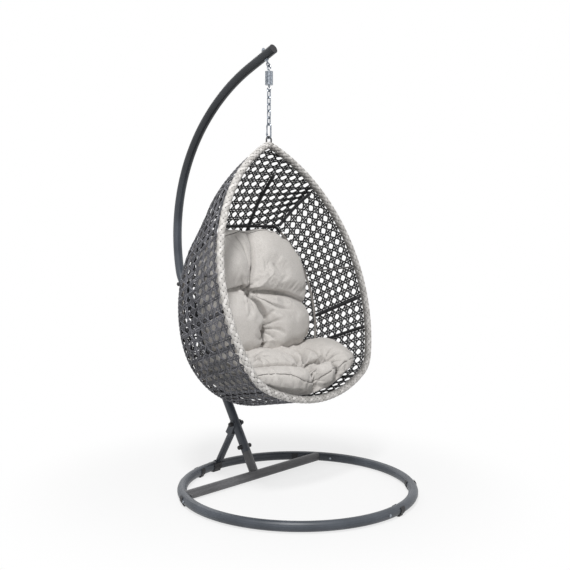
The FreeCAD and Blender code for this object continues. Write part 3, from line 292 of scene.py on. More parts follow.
class BackSurface:
    """The back: X in pitches across from the mid-plane, Y in rows from the apex down."""

    def __init__(self, walls):
        self.rim_rows = round((shoulder_s - BACK_START) / PITCH)
        self.walls = walls
        first_bend = HOOP_BENDS[0][0] * math.radians(START_HEADING - HOOP_BENDS[0][1])
        last = round(first_bend / BACK_END_BANDS / hoop.length * walls.rows)
        shoulder, corner = self.corner_ends()
        self.rib_length = np.linalg.norm(corner - shoulder)
        self.rib_rows = round(self.rib_length / PITCH)
        self.rows = self.rim_rows + self.rib_rows + walls.rows - last
        self.run_end = shoulder_s + self.rib_length + hoop.length * (1 - last / walls.rows)

    def corner_ends(self):
        """Ends of the right corner rib on the rim's edge and on the hoop."""
        u, v = rim.at(shoulder_s, SKIN_OVERHANG)
        shoulder = on_rim(u, v, SKIN_BEHIND)
        u, v = hoop.at(hoop.length)
        return shoulder, on_hoop(u, v)

    def edge(self, y):
        """Right end of a row, and its run along the edge from the apex."""
        n1, n2 = self.rim_rows, self.rib_rows
        s = BACK_START + (shoulder_s - BACK_START) * y / n1
        u, v = rim.at(np.minimum(s, shoulder_s), SKIN_OVERHANG)
        on_outline = on_rim(u, v, SKIN_BEHIND)
        shoulder, corner = self.corner_ends()
        share = np.clip((y - n1) / n2, 0, 1)
        on_rib = shoulder + (corner - shoulder) * share[..., None]
        on_rib = on_rib + unit(on_rib - core) * bulged(CORNER_BULGE, share)[..., None]
        t = 1 - np.maximum(y - n1 - n2, 0) / self.walls.rows
        u, v = hoop.at(t * hoop.length)
        low = on_hoop(u, v, LOW_EDGE_BEHIND)
        at_rim, above_low = y <= n1, y <= n1 + n2
        place = np.where(at_rim[..., None], on_outline,
                         np.where(above_low[..., None], on_rib, low))
        run = np.where(at_rim, s, np.where(above_low, shoulder_s + share * self.rib_length,
                                           shoulder_s + self.rib_length + (1 - t) * hoop.length))
        return place, run

    def share_of(self, run):
        """Share of the mid-plane's line at a run along the edge."""
        return (run - BACK_START) / (self.run_end - BACK_START)

    def arc(self, y):
        """Middle, direction to the chord, radius and half length of a row's arc."""
        right, run = self.edge(y)
        share = self.share_of(run)
        u, v = back.at(np.clip(share, -0.1, 1) * back.length)
        rim_start = on_rim(0, -SKIN_OVERHANG, SKIN_BEHIND) - APEX
        middle = APEX + np.stack([np.zeros_like(u), u, -v], -1)
        middle = middle + rim_start * (1 - share)[..., None] ** 3
        chord = right * np.array((0.0, 1.0, 1.0))
        half, sagitta = right[..., 0], np.linalg.norm(middle - chord, axis=-1)
        radius = (half ** 2 + sagitta ** 2) / (2 * sagitta)
        return middle, unit(chord - middle), radius, 2 * np.arctan2(sagitta, half) * radius

    def point(self, x, y):
        middle, inward, radius, _ = self.arc(y)
        angle = x * PITCH / radius
        out = middle + inward * (radius * (1 - np.cos(angle)))[..., None]
        out[..., 0] += radius * np.sin(angle)
        return out

    def at_share(self, share, across):
        """Place at a share of the mid-plane's line and a distance across."""
        y = np.linspace(0, self.rows, ROW_SAMPLES)
        row = np.array(np.interp(share, self.share_of(self.edge(y)[1]), y))
        radius = self.arc(row)[2]
        return self.point(radius * np.arcsin(across / radius) / PITCH, row)

    def inside(self, x, y):
        """Above 0 inside the surface, and 0 on its edge."""
        half = self.arc(np.clip(y, 0, self.rows))[3]
        return np.minimum.reduce([half / PITCH - np.abs(x), y + APEX_REACH, self.rows - y])

    def domain(self):
        return BACK_COLUMNS, (0, self.rows)


def surface_frame(surface, x, y):
    """Points in the middle of the skin and its outward normals."""
    across = surface.point(x + NORMAL_STEP, y) - surface.point(x - NORMAL_STEP, y)
    along = surface.point(x, y + NORMAL_STEP) - surface.point(x, y - NORMAL_STEP)
    point = surface.point(x, y)
    normal = unit(np.cross(across, along))
    outward = unit(point - core)
    normal = normal * np.sign((normal * outward).sum(-1, keepdims=True))
    return point - outward * SKIN_MIDDLE, normal


def runs(surface, x, y):
    """Stretches of a lattice line inside the surface, each ended on its edge."""
    value = surface.inside(x, y)
    inside = value > 0
    edges = np.flatnonzero(np.diff(inside.astype(int)))
    bounds = [0] + (edges + 1).tolist() + [len(x)]
    for a, b in zip(bounds, bounds[1:]):
        if not inside[a] or b - a < MIN_RUN:
            continue
        xs, ys = x[a:b], y[a:b]
        if a > 0:
            part = value[a] / (value[a] - value[a - 1])
            xs = np.r_[x[a] + (x[a - 1] - x[a]) * part, xs]
            ys = np.r_[y[a] + (y[a - 1] - y[a]) * part, ys]
        if b < len(x):
            part = value[b - 1] / (value[b - 1] - value[b])
            xs = np.r_[xs, x[b - 1] + (x[b] - x[b - 1]) * part]
            ys = np.r_[ys, y[b - 1] + (y[b] - y[b - 1]) * part]
        yield xs, ys


def weave(surface, name, material):
    """Open cane weave on a surface: pairs both ways and both diagonals, over and under."""
    bundle = Bundle()
    (x0, x1), (y0, y1) = surface.domain()
    xs, ys = np.arange(x0, x1 + STEP, STEP), np.arange(y0, y1 + STEP / 2, STEP)

    def lay(x, y, wave):
        for rx, ry in runs(surface, x, y):
            points, normals = surface_frame(surface, rx, ry)
            line = points + normals * wave(rx, ry)[:, None]
            bundle.add(line, normals, STRAND_WIDTH, STRAND_THICK)

    for j in range(y0, y1 + 1):
        for side in (-1, 1):
            y = j + side * PAIR_HALF
            if y0 <= y <= y1:
                lay(xs, np.full_like(xs, y), lambda x, y: ROW_WAVE * np.cos(np.pi * (x + j)))
    for i in range(x0, x1 + 1):
        for side in (-1, 1):
            x = i + side * PAIR_HALF
            lay(np.full_like(ys, x), ys, lambda x, y: -ROW_WAVE * np.cos(np.pi * (y + i)))
    for slope in (-1, 1):
        for k in range(x0 - y1 - 1, x1 + y1 + 2):
            x = k + 0.5 + slope * ys
            lay(x, ys, lambda x, y: -slope * DIAGONAL_WAVE * np.cos(2 * np.pi * x))
    return bundle.build(name, material, "basket")


# Plaited wrap of the rim
PLAIT_STRANDS = 4           # each way round
PLAIT_SIDES = 8
PLAIT_R = 0.0134
PLAIT_WAVE = 0.0013
PLAIT_WIDTH = 0.0142
PLAIT_THICK = 0.0024
PLAIT_LEAD = 0.104          # along the rim in one turn
PLAIT_STEP = 0.0043


def rim_frame(s):
    """Points of the closed rim at lengths s from the apex, with directions out and to the rear."""
    total = 2 * rim.length
    s = np.mod(s, total)
    side = np.where(s <= rim.length, 1.0, -1.0)
    half = np.where(s <= rim.length, s, total - s)
    u, v = rim.at(half)
    out_u, out_v = rim.at(half, 0.01)
    middle = on_rim(side * u, v)
    outward = unit(on_rim(side * out_u, out_v) - middle)
    rearward = unit(on_rim(0.0, 0.0, 1.0) - APEX)
    return middle, outward, np.broadcast_to(rearward, middle.shape)


def plait(material):
    """Flat strands that run round the rim both ways, over and under."""
    bundle = Bundle(PLAIT_SIDES)
    total = 2 * rim.length
    turns = round(total / PLAIT_LEAD)
    s = np.r_[np.arange(0.0, total, PLAIT_STEP), total]
    middle, outward, rearward = rim_frame(s)
    for way in (-1, 1):
        for i in range(PLAIT_STRANDS):
            angle = way * 2 * np.pi * turns * s / total + 2 * np.pi * i / PLAIT_STRANDS
            wave = way * np.cos(PLAIT_STRANDS * 2 * np.pi * turns * s / total)
            normal = outward * np.cos(angle)[:, None] + rearward * np.sin(angle)[:, None]
            line = middle + normal * (PLAIT_R + PLAIT_WAVE * wave)[:, None]
            bundle.add(line, normal, PLAIT_WIDTH, PLAIT_THICK)
    return bundle.build("rim_plait", material, "basket")


# Strands wound round the ribs and the hoop's top
BAR_DEPTH = 0.017           # axis of a rib inside the weave's outer face
CORNER_RIB_DEPTH = BAR_DEPTH + CORNER_BULGE / 4
RIB_R = 0.0062
HOOP_ROD_R = 0.0052
HOOP_DEPTH = 0.020          # hoop's axis inside the skin's edge
HOOP_CORNER = 0.060
HOOP_TOP_FROM = 0.030       # its winding starts below the corner
HOOP_ROD_ROOM = 0.016       # windings stop this short of a rib's rear end
WIND_PITCH = 0.0052
WIND_WIDTH = WIND_PITCH * 0.97
WIND_THICK = 0.0016
WIND_STEPS = 12             # to a turn
AXIS_POINTS = 40
BAR_POINTS = 60
# Side ribs: ends on rim and hoop, as shares of the side wall from the bottom
SIDE_RIBS = ((0.435, 0.43), (0.55, 0.55))
# Roof ribs: shares of the back's line, and distances across
ROOF_RIB_DEPTH = 0.022
ROOF_RIB = ((0.10, 0.120), (0.38, 0.104), (0.684, 0.072))


def drawn_in(points, depth):
    return points + unit(core - points) * depth


def curve_through(a, b, c, count):
    """Points of a shallow curve through three points, b half way."""
    t = np.linspace(0, 1, count)[:, None]
    return a + (c - a) * t + (b - (a + c) / 2) * 4 * t * (1 - t)


def rib_lines(walls, back_surface):
    """Axes of the wound ribs, both sides."""
    lines = []
    shoulder, corner = back_surface.corner_ends()
    middle = (shoulder + corner) / 2
    middle = middle + unit(middle - core) * CORNER_BULGE
    marks = [drawn_in(mark, CORNER_RIB_DEPTH) for mark in (shoulder, middle, corner)]
    corner_rib = curve_through(*marks, AXIS_POINTS)
    for side in (-1, 1):
        lines.append(corner_rib * np.array((side, 1, 1)))
        for front_t, rear_t in SIDE_RIBS:
            front = walls.ends(np.float64(side * front_t * walls.rows))[0]
            rear = walls.ends(np.float64(side * rear_t * walls.rows))[1]
            front, rear = drawn_in(front, BAR_DEPTH), drawn_in(rear, BAR_DEPTH)
            lines.append(front + (rear - front) * np.linspace(0, 1, AXIS_POINTS)[:, None])
        marks = [back_surface.at_share(share, side * across) for share, across in ROOF_RIB]
        marks = [drawn_in(mark, ROOF_RIB_DEPTH) for mark in marks]
        lines.append(curve_through(*marks, AXIS_POINTS))
    return lines


def hoop_top():
    """Axis of the hoop's top, from one side over both bends to the other."""
    line = BendPath(START_HEADING, HOOP_BENDS + ((HOOP_CORNER, -START_HEADING),))
    s = np.linspace(hoop.length - HOOP_TOP_FROM, line.length, AXIS_POINTS)
    right = on_hoop(*line.at(s, -HOOP_DEPTH))
    left = right[::-1] * np.array((-1, 1, 1))
    bar = right[-1] + (left[0] - right[-1]) * np.linspace(0, 1, BAR_POINTS)[1:-1, None]
    return np.concatenate([right, bar, left])


def winding(lines, name, material, radius, ends):
    """Flat strands wound closely round bars."""
    bundle = Bundle()
    for line in lines:
        steps = np.linalg.norm(np.diff(line, axis=0), axis=1)
        run = np.r_[0, np.cumsum(steps)]
        s = np.arange(ends[0], run[-1] - ends[1], WIND_PITCH / WIND_STEPS)
        axis = np.stack([np.interp(s, run, line[:, i]) for i in range(3)], -1)
        tangent = unit(np.gradient(axis, axis=0))
        level = unit(np.cross(tangent, (0.0, 0.0, 1.0)))
        square = np.cross(tangent, level)
        turn = 2 * np.pi * s / WIND_PITCH
        normal = level * np.cos(turn)[:, None] + square * np.sin(turn)[:, None]
        bundle.add(axis + normal * (radius + WIND_THICK / 2), normal, WIND_WIDTH, WIND_THICK)
    bundle.build(name, material, "basket")


# Materials. In the functions here, a source is a node with the name of one of its outputs.

def new_material(name):
    material = bpy.data.materials.new(name)
    material.use_nodes = True
    tree = material.node_tree
    return material, tree, tree.nodes["Principled BSDF"]


def set_values(node, **values):
    """Settings of a node; an input goes by its name with underscores."""
    for key, value in values.items():
        found = [socket for socket in node.inputs if socket.name == key.replace("_", " ")]
        if found:
            found[0].default_value = value
        else:
            setattr(node, key, value)


def add(tree, kind, **values):
    """A new node with its settings."""
    node = tree.nodes.new(kind)
    set_values(node, **values)
    return node


def link(tree, source, node, into):
    tree.links.new(source[0].outputs[source[1]], node.inputs[into])


def object_place(tree):
    """Coordinates of the object, in metres."""
    return tree.nodes.new("ShaderNodeTexCoord"), "Object"


def noise(tree, place, scale, detail=3.0, roughness=0.5):
    node = add(tree, "ShaderNodeTexNoise", Scale=scale, Detail=detail, Roughness=roughness)
    link(tree, place, node, "Vector")
    return node, "Fac"


def calculated(tree, operation, *terms):
    """Math node; each term is a number or a source."""
    node = add(tree, "ShaderNodeMath", operation=operation)
    for i, term in enumerate(terms):
        if isinstance(term, tuple):
            link(tree, term, node, i)
        else:
            node.inputs[i].default_value = term
    return node, "Value"


def mapped(tree, source, low, high, start=0.0, end=1.0):
    """A source's values between start and end, brought between low and high."""
    node = add(tree, "ShaderNodeMapRange", From_Min=start, From_Max=end, To_Min=low, To_Max=high)
    link(tree, source, node, "Value")
    return node, "Result"


def scaled(tree, colour, factor):
    """A colour times a factor, both sources."""
    node = add(tree, "ShaderNodeVectorMath", operation="SCALE")
    link(tree, colour, node, 0)
    link(tree, factor, node, "Scale")
    return node, "Vector"


def linear(value):
    """Linear value of a 0 to 255 display value."""
    c = value / 255
    return c / 12.92 if c <= 0.04045 else ((c + 0.055) / 1.055) ** 2.4


def ramp(tree, source, start, dark, end, light):
    """Ramp between two display colours, dark at the value start and light at end."""
    node = tree.nodes.new("ShaderNodeValToRGB")
    elements = node.color_ramp.elements
    for element, place, colour in zip(elements, (start, end), (dark, light)):
        element.position = place
        element.color = (*map(linear, colour), 1.0)
    link(tree, source, node, "Fac")
    return node, "Color"


def bump(tree, shader, source, strength, distance):
    node = add(tree, "ShaderNodeBump", Strength=strength, Distance=distance)
    link(tree, source, node, "Height")
    link(tree, (node, "Normal"), shader, "Normal")


def painted(name, dark, light, roughness, fade=None):
    """Powder coat: fine orange peel, slow change of tone. Between the heights of `fade` it takes
    painted shade, darkening to PAINTED_SHADE_SHARE."""
    material, tree, shader = new_material(name)
    place = object_place(tree)
    colour = ramp(tree, noise(tree, place, scale=9.0, detail=4.0), 0.3, dark, 0.7, light)
    # Painted shade: the coat darkens between the heights of `fade`.
    if fade:
        height = add(tree, "ShaderNodeSeparateXYZ")
        link(tree, place, height, "Vector")
        colour = scaled(tree, colour, mapped(tree, (height, "Z"), 1.0, PAINTED_SHADE_SHARE, *fade))
    link(tree, colour, shader, "Base Color")
    rough = mapped(tree, noise(tree, place, scale=60.0), roughness - 0.06, roughness + 0.08)
    link(tree, rough, shader, "Roughness")
    peel = noise(tree, place, scale=900.0, detail=2.0)
    bump(tree, shader, peel, strength=0.25, distance=0.0002)
    return material


def zinc_metal():
    """Zinc plate: mottled metal."""
    material, tree, shader = new_material("zinc_plate")
    place = object_place(tree)
    mottled = noise(tree, place, scale=140.0, detail=4.0)
    colour = ramp(tree, mottled, 0.3, (98, 104, 112), 0.7, (164, 170, 178))
    link(tree, colour, shader, "Base Color")
    set_values(shader, Metallic=1.0)
    rough = mapped(tree, noise(tree, place, scale=300.0), 0.24, 0.42)
    link(tree, rough, shader, "Roughness")
    bump(tree, shader, noise(tree, place, scale=500.0), strength=0.15, distance=0.0002)
    return material


def black_plastic():
    """Moulded plastic with a fine grain."""
    material, tree, shader = new_material("moulded_black")
    place = object_place(tree)
    colour = ramp(tree, noise(tree, place, scale=25.0), 0.3, (24, 24, 26), 0.7, (40, 40, 43))
    link(tree, colour, shader, "Base Color")
    set_values(shader, Roughness=0.55)
    grain = noise(tree, place, scale=1500.0, detail=1.0)
    bump(tree, shader, grain, strength=0.3, distance=0.0001)
    return material


def cane(name, stops, roughness, inner, turned):
    """Extruded cane: each strand its own tone, fine grain. It takes painted shade towards the basket's
    inside, darkening to the share `inner` where its normal's part away from the core falls from the
    second value of `turned` to the first."""
    material, tree, shader = new_material(name)
    place = object_place(tree)
    tone = add(tree, "ShaderNodeAttribute", attribute_name="tone"), "Fac"
    mottled = calculated(tree, "MULTIPLY", noise(tree, place, scale=220.0), 0.5)
    colour = ramp(tree, calculated(tree, "MULTIPLY_ADD", tone, 0.55, mottled), *stops)
    # Painted shade: darker where the strand's normal turns towards the basket's core.
    from_core = add(tree, "ShaderNodeVectorMath", operation="SUBTRACT")
    from_core.inputs[1].default_value = tuple(core)
    link(tree, place, from_core, 0)
    away = add(tree, "ShaderNodeVectorMath", operation="NORMALIZE")
    link(tree, (from_core, "Vector"), away, 0)
    facing = add(tree, "ShaderNodeVectorMath", operation="DOT_PRODUCT")
    link(tree, (away, "Vector"), facing, 0)
    link(tree, (tree.nodes.new("ShaderNodeNewGeometry"), "Normal"), facing, 1)
    shade = mapped(tree, (facing, "Value"), inner, 1.0, *turned)
    link(tree, scaled(tree, colour, shade), shader, "Base Color")
    set_values(shader, Roughness=roughness, Specular_IOR_Level=0.3)
    grain = noise(tree, place, scale=900.0, detail=2.0)
    bump(tree, shader, grain, strength=0.3, distance=0.0003)
    return material


def cloth(name, dark, light):
    """Linen: fine threads along the three axes, slubs, painted shade in its concave dips and a soft sheen."""
    material, tree, shader = new_material(name)
    place = object_place(tree)
    threads = []
    for axis in ("X", "Y", "Z"):
        wave = add(tree, "ShaderNodeTexWave", Scale=420.0, Distortion=2.2, Detail=2.0,
                   Detail_Scale=1.5, bands_direction=axis)
        link(tree, place, wave, "Vector")
        threads.append((wave, "Fac"))
    total = calculated(tree, "ADD", calculated(tree, "ADD", threads[0], threads[1]), threads[2])
    slubs = noise(tree, place, scale=260.0, detail=4.0, roughness=0.6)
    mixed = calculated(tree, "MULTIPLY_ADD", total, 0.14, slubs)
    colour = ramp(tree, mixed, 0.35, dark, 0.95, light)
    tint = mapped(tree, noise(tree, place, scale=14.0), 0.93, 1.05)
    # Painted shade: the cloth darkens to 0.55 of its tone where its surface is concave.
    shape = tree.nodes.new("ShaderNodeNewGeometry"), "Pointiness"
    painted_dip_shade = mapped(tree, shape, 0.55, 1.0, 0.42, 0.495)
    link(tree, scaled(tree, scaled(tree, colour, tint), painted_dip_shade), shader, "Base Color")
    set_values(shader, Roughness=0.92, Specular_IOR_Level=0.2, Sheen_Weight=0.15)
    bump(tree, shader, mixed, strength=0.35, distance=0.0006)
    return material


# Painted shade on the stand: its coat darkens towards the boom's tip, to PAINTED_SHADE_SHARE of its tone.
PAINTED_SHADE_SHARE = 0.25
STAND_SHADE_HEIGHTS = (1.15, 1.5)    # heights in metres of painted shade: the boom is darker towards its tip
stand_paint = painted("stand_coat", (56, 61, 68), (74, 79, 87), 0.4, STAND_SHADE_HEIGHTS)
# Painted light: a paler copy of the stand's coat, as if sunlit, on the base cross tube and the post stub.
lit_base_coat = painted("lit_base_coat", (82, 82, 84), (100, 100, 102), 0.45)
frame_paint = painted("frame_coat", (36, 36, 38), (52, 52, 54), 0.5)
zinc = zinc_metal()
plastic = black_plastic()
# Painted light: the rear hoop gets a pale coat that stands for sunlight on it.
lit_hoop = painted("lit_hoop_coat", (126, 122, 118), (148, 143, 139), 0.45)
strut_coat = painted("strut_coat", (80, 79, 79), (102, 100, 100), 0.45)
# The plait takes painted shade on its side towards the basket's inside, down to 0.3 of its tone.
pale_cane = cane("pale_plait", (0.2, (168, 165, 161), 0.8, (216, 213, 210)),
                 roughness=0.45, inner=0.3, turned=(-0.8, 0.3))
# The weave and the windings take painted shade towards the basket's inside, down to 0.12 of their tone.
grey_cane = cane("grey_weave", (0.15, (46, 47, 50), 0.85, (124, 124, 130)),
                 roughness=0.5, inner=0.12, turned=(0.1, 0.8))
cushion_cloth = cloth("cushion_linen", (176, 172, 167), (209, 205, 201))
seam_cloth = cloth("seam_linen", (120, 116, 111), (150, 146, 141))

materials_of_slot = {"stand_paint": stand_paint, "zinc": zinc, "black_plastic": plastic,
                     "frame_paint": frame_paint, "pale_cane": pale_cane, "grey_cane": grey_cane,
                     "cushion_cloth": cushion_cloth}
materials_of_node = {"rear_hoop": lit_hoop, "side_strut_left": strut_coat,
                     "side_strut_right": strut_coat, "base_cross_tube": lit_base_coat,
                     "post_stub": lit_base_coat}
for part in frame["record"]["subparts"]:
    name = part["node"]
    material = materials_of_node.get(name, materials_of_slot[part["material_slot"]])
    nodes[name].data.materials.clear()
    nodes[name].data.materials.append(material)

# Weave and plait stand for the skins and the wrap
walls = WallSurface()
wall_weave = weave(walls, "wall_weave", grey_cane)
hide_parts("woven_seat", "woven_side_left", "woven_side_right")
back_surface = BackSurface(walls)
back_weave = weave(back_surface, "back_weave", grey_cane)
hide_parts("woven_back")
rim_plait = plait(pale_cane)
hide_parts("rim_wrap")
winding(rib_lines(walls, back_surface), "rib_windings", grey_cane, RIB_R, (WRAP_R, HOOP_ROD_ROOM))
winding([hoop_top()], "hoop_winding", grey_cane, HOOP_ROD_R, (0.0, 0.0))

# Spring: a helix over the height of the CAD spring
SPRING_TURNS = 7
SPRING_STEPS = 24           # to a turn
SPRING_SIDES = 8
SPRING_R = 0.011
SPRING_WIRE_R = 0.0016
spring_low, spring_high = (float(corner[2]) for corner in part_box("compression_spring"))
turn = np.linspace(0, 2 * np.pi * SPRING_TURNS, SPRING_STEPS * SPRING_TURNS)
outward = np.stack([np.cos(turn), np.sin(turn), np.zeros_like(turn)], -1)
coil = outward * SPRING_R + np.array((0.0, HANG_Y, 0.0))
coil[:, 2] = np.linspace(spring_low + SPRING_WIRE_R, spring_high - SPRING_WIRE_R, len(turn))
spring_bundle = Bundle(SPRING_SIDES)
spring_bundle.add(coil, outward, 2 * SPRING_WIRE_R, 2 * SPRING_WIRE_R)
spring = spring_bundle.build("spring_coil", zinc, "spring_unit")
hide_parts("compression_spring")
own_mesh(spring)

# Cushions: each is its CAD solid, pressed in along its folds, puffed up by cloth simulation,
# then creased
VOXEL = 0.0075
ROUNDING = 5                # smoothing steps that take the flats off
PROUD = 0.010               # the sewn side stands off the CAD solid
FACING_GAIN = 2.0           # how sharply the sewn side is told from the rest
FACING_START = 0.35
REST_START = -0.2
PRESSURE = 4.0
SPARE = 0.04                # slack of the cloth, as a share of its size
FRAMES = 14
SIM_QUALITY = 3
PUFF_CAP = 0.011            # furthest that a point moves
HOLD_LEVELS = 4
HOLD_ON_FOLD = 1.6          # cut to 1, so that the hold is full on both sides of a fold
HELD_NEAR_FOLD = 0.024      # the hold falls by 1 over this distance
CREASE_SHARE = 0.55         # of a fold's depth, pressed in after the simulation
CREASE_DEPTH = 0.022        # at most
CREASE_REACH = 0.017
CREASE_POWER = 1.4
PLEATS = 9                  # gathers round a tuft
PLEAT_DEPTH = 0.0095
PLEAT_REACH = 0.125
PLEAT_START = 0.014         # full depth from here outwards
PLEAT_TWIST = 7             # radians from the tuft to the gathers' ends
PLEAT_UNEVEN = 0.8          # shift of the gathers round the tuft, in radians
PLEAT_UNEVEN_TURNS = 2.3
PLEAT_UNEVEN_START = 1.7
PLEAT_POWER = 3
TUFT_DEPTH = 0.014
TUFT_REACH = 0.014
SEAM_R = 0.0014
SEAM_GROOVE = 0.0035
SEAM_REACH = 0.009
SEAM_POINTS = 150
SEAM_RAY = 0.8              # rays for the seam start this far out
SEAT_SEAM_Z = 0.500
SEAT_SEAM_RISE = 0.065
SEAT_SEAM_HALF = 0.19       # half width over which the seat's seam stays low
BACK_SEAM_FORWARD = 0.02
BACK_SEAM_LEAN = 0.075

# Plain tufts of the CAD solids, smoothed away before folded ones are pressed in
SUNK_REACH = 0.045
FILLING = 60
BACK_SUNK = ((-0.069, 0.0, 0.870), (-0.004, 0.0, 0.694), (0.120, 0.0, 0.822), (0.030, 0.0, 1.004))
SEAT_SUNK = ((0.020, -0.205, 0.60), (0.185, -0.190, 0.60), (0.110, -0.085, 0.60),
             (-0.160, -0.060, 0.60))

# Folds: depth at the first and at the last point, reach, points on the cushion in metres
BACK_TUFT_UP = (-0.069, -0.02, 0.871)
BACK_TUFT_LOW = (-0.004, -0.03, 0.693)
BACK_FOLDS = (
    (0.022, 0.056, 0.115,
     ((-0.010, 0.12, 1.150), (-0.020, 0.06, 1.06), (-0.042, 0.03, 0.98), BACK_TUFT_UP)),
    (0.010, 0.018, 0.045,
     ((-0.105, 0.12, 1.120), (-0.080, 0.04, 1.05), (-0.068, 0.02, 0.98))),
    (0.020, 0.056, 0.11,
     ((-0.300, 0.05, 0.875), (-0.153, 0.03, 0.888), (-0.108, 0.02, 0.897), BACK_TUFT_UP)),
    (0.020, 0.052, 0.10,
     ((0.300, 0.04, 0.800), (0.150, 0.01, 0.852), (0.040, 0.00, 0.868), BACK_TUFT_UP)),
    (0.006, 0.030, 0.045,
     ((0.160, 0.00, 0.785), (0.060, -0.01, 0.800), (-0.010, -0.01, 0.836), BACK_TUFT_UP)),
    (0.052, 0.056, 0.10,
     (BACK_TUFT_UP, (-0.025, -0.02, 0.815), (0.012, -0.03, 0.745), BACK_TUFT_LOW)),
    (0.056, 0.030, 0.10,
     (BACK_TUFT_LOW, (-0.010, -0.02, 0.650), (-0.020, 0.00, 0.600))),
    (0.010, 0.004, 0.05,
     ((0.075, 0.03, 0.990), (0.105, 0.03, 0.950))),
)
SEAT_TUFT_MID = (0.020, -0.200, 0.60)
SEAT_TUFT_RIGHT = (0.190, -0.190, 0.61)
SEAT_TUFT_LEFT = (-0.170, -0.060, 0.62)
SEAT_FOLDS = (
    (0.062, 0.044, 0.11,
     (SEAT_TUFT_MID, (0.034, -0.250, 0.54), (0.044, -0.260, 0.49), (0.030, -0.230, 0.43))),
    (0.056, 0.040, 0.09,
     (SEAT_TUFT_RIGHT, (0.196, -0.245, 0.55), (0.188, -0.250, 0.50), (0.170, -0.230, 0.45))),
    (0.026, 0.056, 0.10, ((-0.300, -0.130, 0.61), (-0.100, -0.150, 0.61), SEAT_TUFT_MID)),
    (0.054, 0.052, 0.09, (SEAT_TUFT_MID, (0.110, -0.175, 0.61), SEAT_TUFT_RIGHT)),
    (0.046, 0.026, 0.07, (SEAT_TUFT_MID, (0.030, -0.110, 0.62), (0.018, -0.020, 0.62))),
    (0.044, 0.026, 0.07, (SEAT_TUFT_MID, (0.100, -0.120, 0.62), (0.125, -0.020, 0.62))),
    (0.044, 0.026, 0.07, (SEAT_TUFT_RIGHT, (0.180, -0.110, 0.62), (0.200, -0.020, 0.62))),
    (0.022, 0.006, 0.07, (SEAT_TUFT_LEFT, (-0.175, -0.120, 0.62))),
)


def mesh_values(mesh, name):
    """Places or normals of a mesh's points."""
    values = np.empty(3 * len(mesh.vertices), np.float32)
    mesh.vertices.foreach_get(name, values)
    return values.reshape(-1, 3).astype(float)


def place_points(mesh, points):
    mesh.vertices.foreach_set("co", points.astype(np.float32).ravel())
    mesh.update()


def push(mesh, distance):
    """Moves a mesh's points along its normals."""
    points, normals = mesh_values(mesh, "co"), mesh_values(mesh, "normal")
    place_points(mesh, points + normals * distance[:, None])


def applied(obj):
    """The object's mesh with its modifiers in it, and none left on the object."""
    evaluated = obj.evaluated_get(bpy.context.evaluated_depsgraph_get())
    mesh = bpy.data.meshes.new_from_object(evaluated)
    obj.modifiers.clear()
    obj.data = mesh
    return mesh


def mesh_tree(mesh):
    faces = [tuple(face.vertices) for face in mesh.polygons]
    return BVHTree.FromPolygons([vertex.co for vertex in mesh.vertices], faces)


def smooth_line(points):
    """A polyline with its corners cut twice."""
    line = np.array(points, float)
    for _ in range(2):
        a, b = line[:-1], line[1:]
        inner = np.stack([a * 0.75 + b * 0.25, a * 0.25 + b * 0.75], 1).reshape(-1, line.shape[1])
        line = np.concatenate([line[:1], inner, line[-1:]])
    return line


def line_distance(points, line):
    """Distances of points from a polyline, and the share of its length where each is nearest."""
    best, share = np.full(len(points), np.inf), np.zeros(len(points))
    run = np.r_[0, np.cumsum(np.linalg.norm(np.diff(line, axis=0), axis=1))]
    for a, b, s0, s1 in zip(line, line[1:], run, run[1:]):
        along = b - a
        part = np.clip((points - a) @ along / max(along @ along, 1e-12), 0, 1)
        distance = np.linalg.norm(points - a - part[:, None] * along, axis=1)
        nearer = distance < best
        best[nearer] = distance[nearer]
        share[nearer] = ((s0 + (s1 - s0) * part) / run[-1])[nearer]
    return best, share


class Sewn:
    """Folds and tufts of a cushion, measured on the plane square to its sewn side."""

    def __init__(self, folds, tufts, direction):
        self.direction = unit(np.array(direction))
        self.flat = np.stack([(1.0, 0.0, 0.0), np.cross(self.direction, (1.0, 0.0, 0.0))], -1)
        self.folds = [(smooth_line(np.array(line) @ self.flat), first, last, reach)
                      for first, last, reach, line in folds]
        self.tufts = [np.array(tuft) @ self.flat for tuft in tufts]

    def facing(self, normals):
        """From 1 on the sewn side to 0 on the others."""
        return np.clip(normals @ self.direction * FACING_GAIN + FACING_START, 0, 1)

    def measured(self, points):
        """For each fold, distances and depths at the points, and its reach."""
        places = points @ self.flat
        for line, first, last, reach in self.folds:
            distance, share = line_distance(places, line)
            yield distance, first + (last - first) * share, reach

    def lobes(self, points):
        """Depth below the lobes' tops: round towards each fold."""
        depth = np.zeros(len(points))
        for distance, full, reach in self.measured(points):
            rise = np.sin(np.pi / 2 * np.clip(distance / reach, 0, 1))
            depth = np.maximum(depth, full * (1 - rise))
        return depth

    def near(self, points):
        """Distance from the nearest fold."""
        return np.minimum.reduce([distance for distance, _, _ in self.measured(points)])

    def creases(self, points):
        """Narrow creases along the folds, and gathers round the tufts."""
        depth = np.zeros(len(points))
        for distance, full, _ in self.measured(points):
            depth = np.maximum(depth, np.minimum(full * CREASE_SHARE, CREASE_DEPTH)
                               * np.clip(1 - distance / CREASE_REACH, 0, 1) ** CREASE_POWER)
        places = points @ self.flat
        for i, tuft in enumerate(self.tufts):
            away = places - tuft
            distance = np.linalg.norm(away, axis=1)
            angle = np.arctan2(away[:, 1], away[:, 0]) + i
            fade = (np.clip(1 - distance / PLEAT_REACH, 0, 1)
                    * np.clip(distance / PLEAT_START, 0, 1))
            uneven = np.sin(PLEAT_UNEVEN_TURNS * angle + PLEAT_UNEVEN_START * i) * PLEAT_UNEVEN
            twist = PLEAT_TWIST * distance / PLEAT_REACH
            wave = 0.5 + 0.5 * np.cos(PLEATS * angle + uneven + twist)
            depth += PLEAT_DEPTH * fade * wave ** PLEAT_POWER
            depth += TUFT_DEPTH * np.exp(-(distance / TUFT_REACH) ** 2)
        return depth


